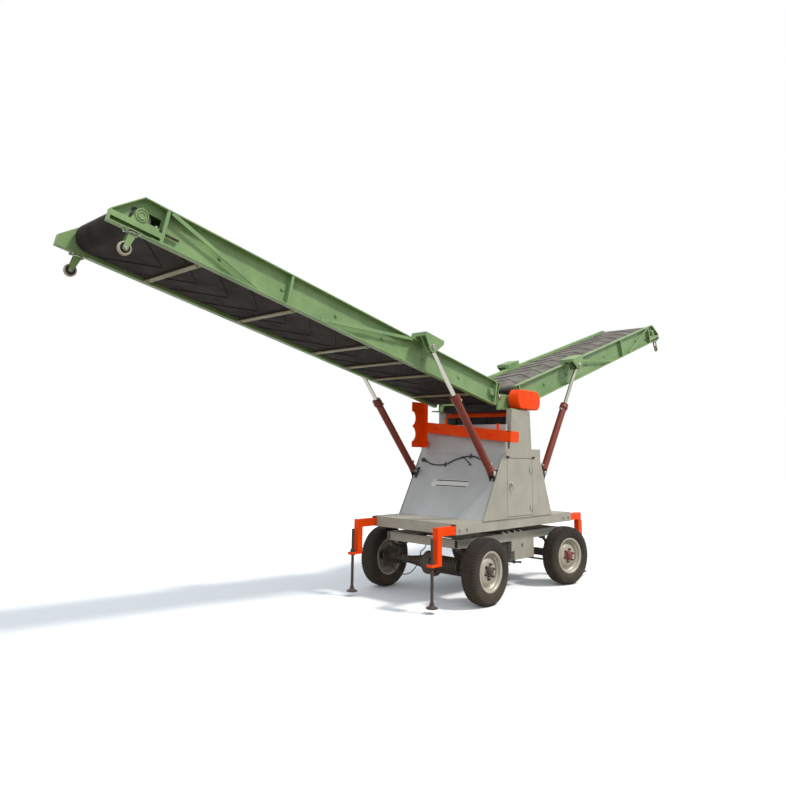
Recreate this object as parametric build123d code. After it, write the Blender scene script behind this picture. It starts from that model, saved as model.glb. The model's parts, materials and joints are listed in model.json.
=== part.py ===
from build123d import *
import os
from math import atan2, cos, degrees, hypot, radians, sin, tan

# A mobile conveyor with two belt wings hinged on a slewing tower.
# Frame: origin on the ground under the slewing axis, +X to the front (steered axle), +Z up.
# The -Y side is the right-hand side, which has the cabinet door. All sizes in millimetres.

FIT = 0.3            # gap between pieces that run or seat on each other
RUN = 0.1            # radial gap of a pin in its hole

# Road wheels
TYRE_R = 370.0
TYRE_W = 180.0
TYRE_SHOULDER_R = 354.0
TYRE_TREAD_W = 152.0
RIM_R = 205.0        # bead seat
RIM_W = 150.0
RIM_T = 8.0
DISC_T = 10.0
DISC_OUT = 30.0      # face of the wheel disc, outwards of the wheel's middle plane
HUB_R = 58.0
HUB_OUT = 84.0       # hub nose, outwards of the wheel's middle plane
HUB_IN = 55.0        # hub back, inwards of it

# Undercarriage
HALF_BASE = 955.0    # axle to slewing axis
HALF_TRACK = 757.0   # wheel's middle plane to the machine's middle plane
RAIL_HALF_L = 1165.0
RAIL_HALF_W = 535.0
RAIL_BOTTOM = 603.0
RAIL_H = 99.0
RAIL_FLANGE = 50.0
STEEL_T = 6.0        # web and flange of the rolled channels
CROSS_X = 430.0      # cross channels under the slewing ring
AXLE_R = 45.0
SPRING_SEAT = 50.0   # spring seats over the axle's middle
DIFF_R = 135.0
DIFF_W = 124.0
NECK_R = 80.0        # necks between the differential housing and the tubes
NECK_W = 260.0
PINION_L = 200.0
DRUM_R = 120.0       # brake drum
DRUM_W = 24.0
SPRING_HALF_L = 180.0
SPRING_W = 50.0
SPRING_T = 30.0
SPRING_RISE = 60.0
SPRING_Y = 500.0
HANGER_L = 36.0

# Steering
KINGPIN_Y = 625.0
KINGPIN_R = 20.0
KNUCKLE_R = 38.0
KNUCKLE_H = 150.0
EAR_T = 30.0
EAR_HALF_X = 40.0
EAR_OUT = 25.0       # ear's end past the kingpin
FORK_GAP = 12.0      # fork's back plate to the knuckle
FORK_T = 35.0
STEER_ARM = 180.0
ARM_T = 30.0
TIE_ROD_R = 12.0
TIE_EYE_R = 22.0
TIE_EYE_T = 25.0
BALL_R = 10.0
STEER_REST = -12.0   # front wheels as they stand, degrees about +Z

# Equipment box under the right rail: bounds along x, depth and height
BOX_X = (-40.0, 500.0)
BOX_D = 300.0
BOX_H = 238.0
BOX_STEP = (70.0, 110.0)
BOX_PORT = (215.0, 532.0, 40.0)  # middle of the square port in its side along x and z, and its size

# Slewing ring
RING_R = 480.0
RING_W = 80.0
RING_LOWER_H = 36.0

# Deck
DECK_BOTTOM = 775.0
DECK_H = 119.0
DECK_HALF_L = 1340.0
DECK_HALF_W = 635.0
DECK_PLATE = 6.0

# Tower outline in the x-z plane, from the rear foot round to the front foot
TOWER_HALF_W = 647.0
WALL = 25.0
COLUMN_T = 10.0
REAR_FOOT_X = -818.0
REAR_CREASE = (-383.0, 1678.0)
LEDGE_X = -300.0     # rear end of the roof
# columns: x bounds at the roof and at the top, and their widths along y
COLUMN_RIGHT = ((-235.0, 290.0), (-177.0, 260.0))
COLUMN_LEFT = ((15.0, 265.0), (15.0, 265.0))
COLUMN_RIGHT_W = 75.0
COLUMN_LEFT_W = 127.0
COLUMN_TOP = 2230.0
ROOF_Z = 1740.0
REAR_PLATE_TOP = (-312.0, 2040.0)
FRONT_KNEE = (511.0, 1596.0)
FRONT_FOOT_X = 788.0
POWER_UNIT = (560.0, 520.0, 430.0)

# Cabinet door in the right-hand wall
DOOR_X = (-300.0, 294.0)
DOOR_SILL = 18.0
DOOR_TOP = 1628.0
DOOR_GAP = 6.0
HINGE_R = 8.0
HINGE_H = 60.0
HINGE_Z = (1005.0, 1469.0)
KNOB_R = 16.0
KNOB_L = 26.0
KNOB_SPOT = (-225.0, 1309.0)

# Hose on the rear wall: corners as (distance to the right, distance up the slope from the deck)
HOSE_R = 8.0
HOSE_OFF = 14.0      # hose's middle to the wall
HOSE_BEND = 70.0
HOSE_LINE = ((-545.0, 776.0), (-358.0, 713.0), (-160.0, 719.0), (-10.0, 797.0), (194.0, 846.0),
             (363.0, 799.0), (520.0, 690.0))
HOSE_FITTING = 44.0

# Outrigger brackets and screw legs
ARM_REACH = 1660.0
ARM_H = 90.0
ARM_W = 70.0
ARM_GAP = 1.0        # arm to the walls of the deck's side tube
ARM_INSIDE = 250.0   # how far the arm reaches into the tube
POST_W = 75.0
POST_BOTTOM = 472.0
TAB_L = 100.0
TAB_T = 28.0
LEG_OUT = 52.0       # leg's middle past the end of the arm
SCREW_R = 18.0
SCREW_TOP = 765.0
PAD_R = 65.0
PAD_T = 10.0
PAD_CROWN = (42.0, 10.0)  # raised middle of the pad: radius and height
PAD_BOTTOM = 50.0

# Wing pins and brackets on the columns
PIN_X = 180.0
PIN_Z = 2390.0
PIN_R = 20.0
BRACKET_Y = 449.0    # inner face of the upright plate
BRACKET_T = 20.0
BRACKET_R = 45.0
BRACKET_FOOT = 15.0
BRACKET_EDGE = 20.0  # foot's edge to the tower's side
REAR_ANGLE = 11.54
FRONT_ANGLE = 17.65

# Wing, in its own frame: s outwards from the pin, n square to the belt
WING_HALF_W = 500.0
GIRDER_TOP = 167.0
GIRDER_BOTTOM = -134.5
GIRDER_FLANGE = 60.0
WEB_T = 6.0
FLANGE_T = 8.0
INNER_END_TOP = 55.0
INNER_END_BOTTOM = 100.0
GABLE_S = 5124.0
TIP_S = 5350.0
TIP_N = -37.0
LUG_T = 22.0
LUG_R = 40.0
LUG_L = 250.0
LUG_HALF_H = 60.0
CREASE_N = -20.0     # top edge of the doubling angle along the bottom of the web
CREASE_T = 5.0
POST_S = (130.0, 3594.0, 4910.0)
POST_L = 30.0
# diagonals: (s at the top, s at the bottom)
DIAGONALS = ((4880.0, 3900.0), (1837.0, 3180.0))
DIAGONAL_W = 34.0
BRACE_T = 8.0
CROSS_S = (610.0, 1390.0, 1879.0, 2419.0, 3457.0, 4514.0)
CROSS_L = 50.0
CROSS_H = 12.0
DRUM_S = (190.0, 5110.0)
DRUM_N = 15.0
PULLEY_R = 120.0
PULLEY_HALF_L = 405.0
SHAFT_R = 25.0
BELT_T = 8.0
BELT_HALF_W = 400.0
BED_T = 6.0
BED_CLEAR = 15.0
BEARING_R = 46.0
BEARING_T = 36.0

# Chevron ribs on the belt: first point of a V, pitch, run from point to edge, width, thickness
CHEVRON_S = 700.0
CHEVRON_PITCH = 352.0
CHEVRON_RUN = 390.0
CHEVRON_HALF_W = 385.0
CHEVRON_L = 18.0
CHEVRON_H = 6.0

# Take-up in the wing's end bay: window in the web, guide angle and bearing block
WINDOW_S = (4930.0, 5190.0)
WINDOW_TOP = 75.0
GUIDE_N = -49.0
GUIDE_LIP = -95.0
BLOCK_S = (4946.0, 5185.0)
BLOCK_Y = (456.0, 490.0)
BLOCK_H = 28.0
BLOCK_R = 58.0
BLOCK_BORE = 24.0

# Casters under the wing ends
CASTER_BACK = 208.0  # swivel to the girder's tip
CASTER_Y = 480.0
CASTER_PLATE = (130.0, 90.0, 8.0)
CASTER_N = -287.0
CASTER_TRAIL = 25.0
CASTER_R = 55.0
CASTER_W = 30.0
FORK_HEAD_R = 30.0
FORK_HEAD_H = 20.0
FORK_CHEEK = 5.0
FORK_HALF_L = 24.0
FORK_FOOT = 14.0
FORK_CLEAR = 3.0
CASTER_PIN_R = 8.0

# Lifting cylinders
CYL_Y = 606.0
FOOT_Z = 1412.0      # height on the sloping face where the foot sits
FOOT_OFF = 60.0      # pin to the sloping face
FOOT_PLATE = (150.0, 12.0)
CHEEK_T = 12.7
CHEEK_R = 32.0
EYE_W = 54.0
EYE_R = 30.0
CYL_PIN_R = 15.0
BARREL_R = 45.0
BARREL_L = 1155.0
BARREL_FOOT = 45.0   # barrel's foot to the pin
GLAND_R = 54.0
GLAND_L = 70.0
ROD_R = 25.0
ROD_INSIDE = 400.0
ROD_STROKE = 470.0   # depth of the bore under the rod at rest
ROD_EYE_R = 38.0
ROD_NECK = 60.0      # flat neck between the rod and the eye's middle
ROD_PIN_R = 20.0
ROD_PIN_S = 1643.0
ROD_PIN_N = 108.0
BRACKET_S = (1470.0, 1800.0)
BRACKET_ROOF = (192.0, 236.0)
BRACKET_DROP = 60.0  # cheeks below the rod pin

# Cross beam on the rear of the tower, with its scalloped end bracket
BEAM_X = (-430.0, -362.0)
BEAM_Y = (-715.0, 560.0)
BEAM_Z = 1950.0
BEAM_H = 135.0
BEAM_TILT = 5.5
BEAM_T = 8.0
BEAM_CUT = 508.0     # left-hand end, square to the ground
BEAM_END = -295.0    # front edge of the end plate on the right
BEAM_ROUND = 40.0
BEAM_SEAT = 40.0     # half width of the seats on the rear plate
BEAM_SEAT_Y = (-495.0, 370.0)
BEAM_LUG_Y = (-600.0, 190.0)
BEAM_LUG_W = 36.0
BEAM_LUG_H = 75.0
TOP_BEAM_X = (25.0, 85.0)
TOP_BEAM_Z = (2150.0, 2210.0)
SCALLOP_X = (-664.0, -410.0)
SCALLOP_Y = (566.0, 578.0)
SCALLOP_Z = (1742.0, 2338.0)
SCALLOP_NECK = -628.0
SCALLOP_DEEP = -590.0
SCALLOP_CROWN = 128.0
SCALLOP_POINT = 277.0
SCALLOP_FOOT = 75.0
SCALLOP_BAND = 22.0
SCALLOP_STAYS = (1800.0, 1960.0)
STAY_Y = (530.0, 560.0)

# Drive cover at the hinge, right-hand side
COVER_X = (-45.0, 512.0)
COVER_Y = (-665.0, -512.0)
COVER_Z = (2250.0, 2498.0)
COVER_BULGE = 68.0   # how far the ends stand out at half height
COVER_FOOT = ((195.0, 235.0), (-620.0, -585.0))


def block(x, y, z):
    """Box between a low and a high bound on each axis."""
    middle = [(low + high) / 2 for low, high in (x, y, z)]
    return Pos(*middle) * Box(*[high - low for low, high in (x, y, z)])


def side_plate(points, y):
    """Plate with an outline of (x, z) points between two y bounds."""
    face = Plane.XZ * make_face(Polyline(*points, close=True))
    return Pos(0, y[1], 0) * extrude(face, amount=y[1] - y[0])


def edge_plate(edges, y):
    """Plate with an outline of joined edges in the x-z plane between two y bounds."""
    face = Plane.XZ * make_face(Curve() + edges)
    return Pos(0, y[1], 0) * extrude(face, amount=y[1] - y[0])


def round_x(y, z, radius, x):
    """Round bar along X."""
    return Pos((x[0] + x[1]) / 2, y, z) * Rot(0, 90, 0) * Cylinder(radius, x[1] - x[0])


def round_y(x, z, radius, y):
    """Round bar along Y."""
    return Pos(x, (y[0] + y[1]) / 2, z) * Rot(90, 0, 0) * Cylinder(radius, y[1] - y[0])


def round_z(x, y, radius, z):
    """Round bar along Z."""
    return Pos(x, y, (z[0] + z[1]) / 2) * Cylinder(radius, z[1] - z[0])


def channel_x(x, y_web, y_lip, z, thickness):
    """Rolled channel along X, its web at y_web and its flanges reaching to y_lip."""
    way = 1 if y_lip > y_web else -1
    web = block(x, sorted((y_web, y_web + way * thickness)), z)
    lips = sorted((y_web, y_lip))
    return web + block(x, lips, (z[0], z[0] + thickness)) + block(x, lips, (z[1] - thickness, z[1]))


def channel_y(y, x_web, x_lip, z, thickness):
    """Rolled channel along Y, its web at x_web and its flanges reaching to x_lip."""
    return Rot(0, 0, 90) * channel_x(y, -x_web, -x_lip, z, thickness)


def both_sides(shape):
    """The shape and its mirror image across the machine's middle plane."""
    return [shape, mirror(shape, about=Plane.XZ)]


def save(name, *solids):
    """Write one node from solids that do not touch."""
    shape = solids[0] if len(solids) == 1 else Compound(children=list(solids))
    export_step(shape, f"parts/{name}.step")


# Road wheels, built round the Y axis with the outer side to -Y

def wheel_tyre():
    """Road tyre: bead seat, side walls, chamfered shoulders and tread."""
    side, tread = TYRE_W / 2, TYRE_TREAD_W / 2
    outline = Polyline(
        (RIM_R + FIT, -side), (TYRE_SHOULDER_R, -side), (TYRE_R, -tread), (TYRE_R, tread),
        (TYRE_SHOULDER_R, side), (RIM_R + FIT, side), close=True)
    return revolve(make_face(outline), Axis.Y)


def wheel_rim():
    """Steel rim with its disc and the hub."""
    half, inner = RIM_W / 2, RIM_R - RIM_T
    outline = Polyline(
        (0, -HUB_OUT), (HUB_R, -HUB_OUT), (HUB_R, -DISC_OUT), (inner, -DISC_OUT), (inner, -half),
        (RIM_R, -half), (RIM_R, half), (inner, half), (inner, DISC_T - DISC_OUT), (HUB_R, DISC_T - DISC_OUT),
        (HUB_R, HUB_IN), (0, HUB_IN), close=True)
    return revolve(make_face(outline), Axis.Y)


HUB_SEAT = HALF_TRACK - HUB_IN - FIT


def brake_drum():
    """Brake drum that the hub of a wheel on the left seats on."""
    return round_y(0, 0, DRUM_R, (HUB_SEAT - DRUM_W, HUB_SEAT))


def at_wheel(shape, front, left):
    """Place a piece built at the origin at one of the four wheel centres."""
    turned = Rot(0, 0, 180) * shape if left else shape
    side = 1 if left else -1
    if not front:
        return Pos(-HALF_BASE, side * HALF_TRACK, TYRE_R) * turned
    reach = side * (HALF_TRACK - KINGPIN_Y)
    return Pos(HALF_BASE, side * KINGPIN_Y, TYRE_R) * Rot(0, 0, STEER_REST) * Pos(0, reach, 0) * turned


# Undercarriage

def lower_frame():
    """Ladder frame: two rail channels and four cross channels that butt against their flanges."""
    z = (RAIL_BOTTOM, RAIL_BOTTOM + RAIL_H)
    rail = channel_x((-RAIL_HALF_L, RAIL_HALF_L), RAIL_HALF_W, RAIL_HALF_W - RAIL_FLANGE, z, STEEL_T)
    inside = (-RAIL_HALF_W + RAIL_FLANGE, RAIL_HALF_W - RAIL_FLANGE)
    crosses = [channel_y(inside, way * web, way * (web - RAIL_FLANGE), z, STEEL_T)
               for way in (-1, 1) for web in (CROSS_X, RAIL_HALF_L)]
    return both_sides(rail) + crosses


def ring(radius, z):
    """Flat ring of the slewing bearing."""
    middle = (z[0] + z[1]) / 2
    whole = Pos(0, 0, middle) * Cylinder(radius, z[1] - z[0])
    return whole - Pos(0, 0, middle) * Cylinder(radius - RING_W, z[1] - z[0] + 2)


def spring(x, y):
    """Leaf pack as an arc, with its saddle on the axle and a hanger at each end."""
    eye = RAIL_BOTTOM - HANGER_L
    low = eye - SPRING_RISE
    ends = ((x - SPRING_HALF_L, eye), (x + SPRING_HALF_L, eye))
    over = [(px, pz + SPRING_T) for px, pz in ends]
    outline = [
        ThreePointArc(ends[0], (x, low), ends[1]),
        Line(ends[1], over[1]),
        ThreePointArc(over[1], (x, low + SPRING_T), over[0]),
        Line(over[0], ends[0]),
    ]
    width = (y - SPRING_W / 2, y + SPRING_W / 2)
    pack = edge_plate(outline, width)
    pack += block((x - AXLE_R, x + AXLE_R), width, (TYRE_R + SPRING_SEAT, low + SPRING_T / 2))
    for px, pz in ends:
        inner = sorted((px, px + HANGER_L * (1 if px < x else -1)))
        pack += block(inner, width, (pz - SPRING_T / 4, RAIL_BOTTOM))
    return pack


def drive_axle():
    """Axle tube with the differential housing, spring seats and brake drums."""
    half, neck = DIFF_W / 2, NECK_W / 2
    right = [(0, HUB_SEAT), (DRUM_R, HUB_SEAT), (DRUM_R, HUB_SEAT - DRUM_W), (AXLE_R, HUB_SEAT - DRUM_W),
             (AXLE_R, neck), (NECK_R, neck), (NECK_R, half), (DIFF_R, half)]
    left = [(r, -y) for r, y in reversed(right)]
    axle = revolve(make_face(Polyline(*right, *left, close=True)), Axis.Y)
    axle += round_x(0, 0, AXLE_R, (0, PINION_L))
    for y in (-SPRING_Y, SPRING_Y):
        width = (y - SPRING_W / 2, y + SPRING_W / 2)
        axle += block((-AXLE_R, AXLE_R), width, (0, SPRING_SEAT))
    return Pos(-HALF_BASE, 0, TYRE_R) * axle


def front_axle():
    """Beam axle with a forked end and kingpin at each side."""
    fork_face = KINGPIN_Y - KNUCKLE_R - FORK_GAP
    half_gap = KNUCKLE_H / 2
    beam = block((-AXLE_R * 0.8, AXLE_R * 0.8), (-fork_face, fork_face), (-AXLE_R, AXLE_R))
    fork = block((-EAR_HALF_X, EAR_HALF_X), (fork_face - FORK_T, fork_face),
                 (-half_gap - EAR_T, half_gap + EAR_T))
    for z in ((half_gap, half_gap + EAR_T), (-half_gap - EAR_T, -half_gap)):
        fork += block((-EAR_HALF_X, EAR_HALF_X), (fork_face - FORK_T, KINGPIN_Y + EAR_OUT), z)
    fork += round_z(0, KINGPIN_Y, KINGPIN_R, (-half_gap - EAR_T, half_gap + EAR_T))
    for y in (-SPRING_Y, SPRING_Y):
        width = (y - SPRING_W / 2, y + SPRING_W / 2)
        beam += block((-AXLE_R, AXLE_R), width, (0, SPRING_SEAT))
    axle = beam + fork + mirror(fork, about=Plane.XZ)
    return Pos(HALF_BASE, 0, TYRE_R) * axle


STEER_Z = (-KNUCKLE_H / 2 + 20, -KNUCKLE_H / 2 + 20 + ARM_T)


def knuckle(left):
    """Knuckle with boss, brake drum and steering arm, turned to the resting steer angle."""
    side = 1 if left else -1
    half = KNUCKLE_H / 2 - FIT
    body = round_z(0, 0, KNUCKLE_R, (-half, half))
    outwards = Pos(0, -KINGPIN_Y, 0) * brake_drum()
    outwards += block((-ARM_T, ARM_T), (0, HUB_SEAT - DRUM_W - KINGPIN_Y), (-AXLE_R, AXLE_R))
    body += outwards if left else mirror(outwards, about=Plane.XZ)
    body += block((-STEER_ARM, 0), (-ARM_T / 2, ARM_T / 2), STEER_Z)
    body += round_z(-STEER_ARM, 0, TIE_EYE_R, STEER_Z)
    body += round_z(-STEER_ARM, 0, BALL_R, (STEER_Z[0] - FIT - TIE_EYE_T, STEER_Z[0]))
    body -= round_z(0, 0, KINGPIN_R + RUN, (-KNUCKLE_H, KNUCKLE_H))
    return Pos(HALF_BASE, side * KINGPIN_Y, TYRE_R) * Rot(0, 0, STEER_REST) * body


def arm_end(left):
    """Middle of the ball joint at the end of a steering arm, at rest."""
    side = 1 if left else -1
    turn = radians(STEER_REST)
    return (HALF_BASE - STEER_ARM * cos(turn), side * KINGPIN_Y - STEER_ARM * sin(turn))


def tie_rod():
    """Rod between the two steering arms, with an eye under each."""
    z = (TYRE_R + STEER_Z[0] - FIT - TIE_EYE_T, TYRE_R + STEER_Z[0] - FIT)
    right, left = arm_end(False), arm_end(True)
    rod = round_y(right[0], (z[0] + z[1]) / 2, TIE_ROD_R, (right[1] + 2 * TIE_EYE_R, left[1] - 2 * TIE_EYE_R))
    for x, y in (right, left):
        inwards = sorted((y, y + 2 * TIE_EYE_R * (1 if y < 0 else -1)))
        rod += round_z(x, y, TIE_EYE_R, z) + block((x - TIE_EYE_R / 2, x + TIE_EYE_R / 2), inwards, z)
    for x, y in (right, left):
        rod -= round_z(x, y, BALL_R + RUN, (z[0] - 1, z[1] + 1))
    return rod


def equipment_box():
    """Box under the right rail, stepped at its rear and with a square port in its side."""
    x, z, size = BOX_PORT
    y = (-RAIL_HALF_W, -RAIL_HALF_W + BOX_D)
    low = RAIL_BOTTOM - BOX_H
    box = block(BOX_X, y, (low, RAIL_BOTTOM))
    box -= block((BOX_X[0] - 1, BOX_X[0] + BOX_STEP[0]), (y[0] - 1, y[1] + 1), (low - 1, low + BOX_STEP[1]))
    return box - block((x - size / 2, x + size / 2), (y[0] - 1, y[0] + size), (z - size / 2, z + size / 2))


# Turntable

def tube_x(x, y, z, thickness):
    """Rectangular tube along X, open at both ends."""
    inner_y = (y[0] + thickness, y[1] - thickness)
    inner_z = (z[0] + thickness, z[1] - thickness)
    return block(x, y, z) - block((x[0] - 1, x[1] + 1), inner_y, inner_z)


TUBE_W = ARM_W + 2 * (ARM_GAP + STEEL_T)
TUBE_IN = DECK_HALF_W - TUBE_W
TUBE_TOP = DECK_BOTTOM + DECK_H
LEG_X = ARM_REACH + LEG_OUT
LEG_Y = DECK_HALF_W - TUBE_W / 2
ARM_Z = (DECK_BOTTOM + STEEL_T + FIT, DECK_BOTTOM + STEEL_T + FIT + ARM_H)


def deck_frame():
    """Deck of rectangular tubes with the plate between them and the upper slewing ring."""
    z = (DECK_BOTTOM, TUBE_TOP)
    side = tube_x((-DECK_HALF_L, DECK_HALF_L), (TUBE_IN, DECK_HALF_W), z, STEEL_T)
    inside = (-TUBE_IN, TUBE_IN)
    under = (DECK_BOTTOM, TUBE_TOP - DECK_PLATE)
    end = Rot(0, 0, 90) * tube_x(inside, (DECK_HALF_L - TUBE_W, DECK_HALF_L), under, STEEL_T)
    beam = Rot(0, 0, 90) * tube_x(inside, (CROSS_X - TUBE_W / 2, CROSS_X + TUBE_W / 2), under, STEEL_T)
    ends = [end, mirror(end, about=Plane.YZ), beam, mirror(beam, about=Plane.YZ)]
    plate = block((-DECK_HALF_L, DECK_HALF_L), inside, (TUBE_TOP - DECK_PLATE, TUBE_TOP))
    upper_ring = ring(RING_R, (RAIL_BOTTOM + RAIL_H + RING_LOWER_H + FIT, DECK_BOTTOM))
    return both_sides(side) + ends + [plate, upper_ring]


DECK_TOP = TUBE_TOP
REAR_FOOT = (REAR_FOOT_X, DECK_TOP)
FRONT_FOOT = (FRONT_FOOT_X, DECK_TOP)
REAR_LEDGE = (LEDGE_X, ROOF_Z)
FRONT_SHOULDER = (FRONT_KNEE[0], ROOF_Z)


def tower_side(left):
    """Side wall with its column; the right-hand one has the door opening."""
    foot, top = COLUMN_LEFT if left else COLUMN_RIGHT
    width = COLUMN_LEFT_W if left else COLUMN_RIGHT_W
    column = ((foot[0], ROOF_Z), (top[0], COLUMN_TOP), (top[1], COLUMN_TOP), (foot[1], ROOF_Z))
    outline = (REAR_FOOT, REAR_CREASE, REAR_LEDGE, *column, FRONT_SHOULDER, FRONT_KNEE, FRONT_FOOT)
    wall = side_plate(outline, (TOWER_HALF_W - WALL, TOWER_HALF_W))
    inner_y = TOWER_HALF_W - width
    wall += side_plate(column, (inner_y, TOWER_HALF_W))
    hollow = ((foot[0] + COLUMN_T, ROOF_Z - 1), (top[0] + COLUMN_T, COLUMN_TOP - COLUMN_T),
              (top[1] - COLUMN_T, COLUMN_TOP - COLUMN_T), (foot[1] - COLUMN_T, ROOF_Z - 1))
    wall -= side_plate(hollow, (inner_y + COLUMN_T, TOWER_HALF_W - WALL))
    if left:
        return wall
    opening = block(DOOR_X, (TOWER_HALF_W - 2 * WALL, TOWER_HALF_W + WALL), (DECK_TOP + DOOR_SILL, DOOR_TOP))
    return mirror(wall - opening, about=Plane.XZ)


def inset(point, below):
    """Point moved square to the sloping wall that runs from below to it, into the tower."""
    run, rise = point[0] - below[0], point[1] - below[1]
    length = hypot(run, rise)
    way = 1 if run > 0 else -1
    return (way * WALL * rise / length, -way * WALL * run / length)


def tower_rear():
    """Rear sloping wall and the steeper plate above it."""
    width = (-TOWER_HALF_W + WALL, TOWER_HALF_W - WALL)
    shift = inset(REAR_CREASE, REAR_FOOT)
    thick = shift[0] - shift[1] * (REAR_CREASE[0] - REAR_FOOT[0]) / (REAR_CREASE[1] - REAR_FOOT[1])
    slope = (
        REAR_FOOT, REAR_CREASE, REAR_LEDGE, (REAR_LEDGE[0], ROOF_Z - WALL),
        (REAR_CREASE[0] + thick, REAR_CREASE[1] - WALL), (REAR_FOOT[0] + thick, DECK_TOP))
    wall = side_plate(slope, width)
    upper = (REAR_CREASE, REAR_PLATE_TOP, (REAR_PLATE_TOP[0] + WALL, REAR_PLATE_TOP[1]),
             (REAR_PLATE_TOP[0] + WALL, ROOF_Z), REAR_LEDGE)
    return wall + side_plate(upper, (-TOWER_HALF_W, TOWER_HALF_W))


def plate_x(z):
    """Rear face of the steeper plate at a height."""
    share = (z - REAR_CREASE[1]) / (REAR_PLATE_TOP[1] - REAR_CREASE[1])
    return REAR_CREASE[0] + share * (REAR_PLATE_TOP[0] - REAR_CREASE[0])


def rear_hose():
    """Hose lying along the rear wall between two square fittings."""
    run, rise = REAR_CREASE[0] - REAR_FOOT[0], REAR_CREASE[1] - REAR_FOOT[1]
    wall = Plane(origin=(REAR_FOOT[0], 0, REAR_FOOT[1]), x_dir=(0, -1, 0), z_dir=(-rise, 0, run))
    line = Pos(0, 0, HOSE_OFF) * FilletPolyline(*HOSE_LINE, radius=HOSE_BEND)
    hose = sweep(Plane(origin=line @ 0, z_dir=line % 0) * Circle(HOSE_R), path=line)
    half = HOSE_FITTING / 2
    for x, y in (HOSE_LINE[0], HOSE_LINE[-1]):
        hose += block((x - half, x + half), (y - half, y + half), (0, HOSE_OFF + 2 * HOSE_R))
    return wall.location * hose


def tower_front():
    """Front sloping wall with the short upright above it and the roof."""
    width = (-TOWER_HALF_W + WALL, TOWER_HALF_W - WALL)
    outline = (
        FRONT_FOOT, FRONT_KNEE, FRONT_SHOULDER, REAR_LEDGE, (REAR_LEDGE[0], ROOF_Z - WALL),
        (FRONT_KNEE[0] - WALL, ROOF_Z - WALL), (FRONT_KNEE[0] - WALL, FRONT_KNEE[1]),
        (FRONT_FOOT[0] - WALL, DECK_TOP))
    return side_plate(outline, width)


DOOR_AXIS = (DOOR_X[1] - DOOR_GAP / 2, -TOWER_HALF_W - HINGE_R)


def door():
    """Cabinet door with two hinge barrels on its front edge and a knob."""
    x = (DOOR_X[0] + DOOR_GAP, DOOR_X[1] - DOOR_GAP)
    z = (DECK_TOP + DOOR_SILL + DOOR_GAP, DOOR_TOP - DOOR_GAP)
    panel = block(x, (-TOWER_HALF_W, -TOWER_HALF_W + WALL), z)
    for middle in HINGE_Z:
        span = (middle - HINGE_H / 2, middle + HINGE_H / 2)
        panel += round_z(*DOOR_AXIS, HINGE_R, span)
        panel += block((x[1] - HINGE_H, DOOR_AXIS[0]), (DOOR_AXIS[1], -TOWER_HALF_W), span)
    return panel + round_y(*KNOB_SPOT, KNOB_R, (-TOWER_HALF_W - KNOB_L, -TOWER_HALF_W))


def power_unit():
    """Hydraulic power unit inside the cabinet, as one plain mass."""
    length, width, height = POWER_UNIT
    return block((-length / 2, length / 2), (-width / 2, width / 2), (DECK_TOP, DECK_TOP + height))


def outrigger(front, left):
    """Bracket at a deck corner: arm, post and the tab with the screw's hole."""
    y = (LEG_Y - ARM_W / 2, LEG_Y + ARM_W / 2)
    shape = block((DECK_HALF_L - ARM_INSIDE, ARM_REACH), y, ARM_Z)
    shape += block((ARM_REACH - POST_W, ARM_REACH), y, (POST_BOTTOM, ARM_Z[1]))
    shape += block((ARM_REACH - POST_W, ARM_REACH + TAB_L), y, (POST_BOTTOM, POST_BOTTOM + TAB_T))
    shape -= round_z(LEG_X, LEG_Y, SCREW_R + FIT, (POST_BOTTOM - 1, POST_BOTTOM + TAB_T + 1))
    return corner(shape, front, left)


def leg(front, left):
    """Screw with its round, stepped foot pad."""
    crown_r, crown_h = PAD_CROWN
    shape = round_z(LEG_X, LEG_Y, SCREW_R, (PAD_BOTTOM, SCREW_TOP))
    shape += round_z(LEG_X, LEG_Y, PAD_R, (PAD_BOTTOM, PAD_BOTTOM + PAD_T))
    shape += round_z(LEG_X, LEG_Y, crown_r, (PAD_BOTTOM, PAD_BOTTOM + PAD_T + crown_h))
    return corner(shape, front, left)


def corner(shape, front, left):
    """Move a piece built at the front left corner to another corner."""
    if not front:
        shape = mirror(shape, about=Plane.YZ)
    return shape if left else mirror(shape, about=Plane.XZ)


def hinge_bracket():
    """Left-hand upright plate with both wing pins, on a foot that lies on its column."""
    y = (BRACKET_Y, BRACKET_Y + BRACKET_T)
    outline = (
        (-PIN_X - BRACKET_R, COLUMN_TOP), (-PIN_X - BRACKET_R, PIN_Z), (-PIN_X, PIN_Z + BRACKET_R),
        (PIN_X, PIN_Z + BRACKET_R), (PIN_X + BRACKET_R, PIN_Z), (PIN_X + BRACKET_R, COLUMN_TOP))
    plate = side_plate(outline, y)
    foot = (BRACKET_Y, TOWER_HALF_W - BRACKET_EDGE)
    plate += block((-PIN_X, PIN_X), foot, (COLUMN_TOP, COLUMN_TOP + BRACKET_FOOT))
    lug = (WING_HALF_W - GIRDER_FLANGE - LUG_T, WING_HALF_W - GIRDER_FLANGE)
    for x in (-PIN_X, PIN_X):
        plate += round_y(x, PIN_Z, PIN_R, (lug[0] - 5, y[0] + BRACKET_T / 2))
    return plate


# Wings, in their own frame: x is s, z is n

def at_rear(shape):
    """Place a wing piece on the rear pins."""
    return Pos(-PIN_X, 0, PIN_Z) * Rot(0, REAR_ANGLE, 0) * Rot(0, 0, 180) * shape


def at_front(shape):
    """Place a wing piece on the front pins."""
    return Pos(PIN_X, 0, PIN_Z) * Rot(0, -FRONT_ANGLE, 0) * shape


WEB_IN = WING_HALF_W - GIRDER_FLANGE
WEB = (WEB_IN, WEB_IN + WEB_T)
FLANGE = (WEB_IN, WING_HALF_W)


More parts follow.
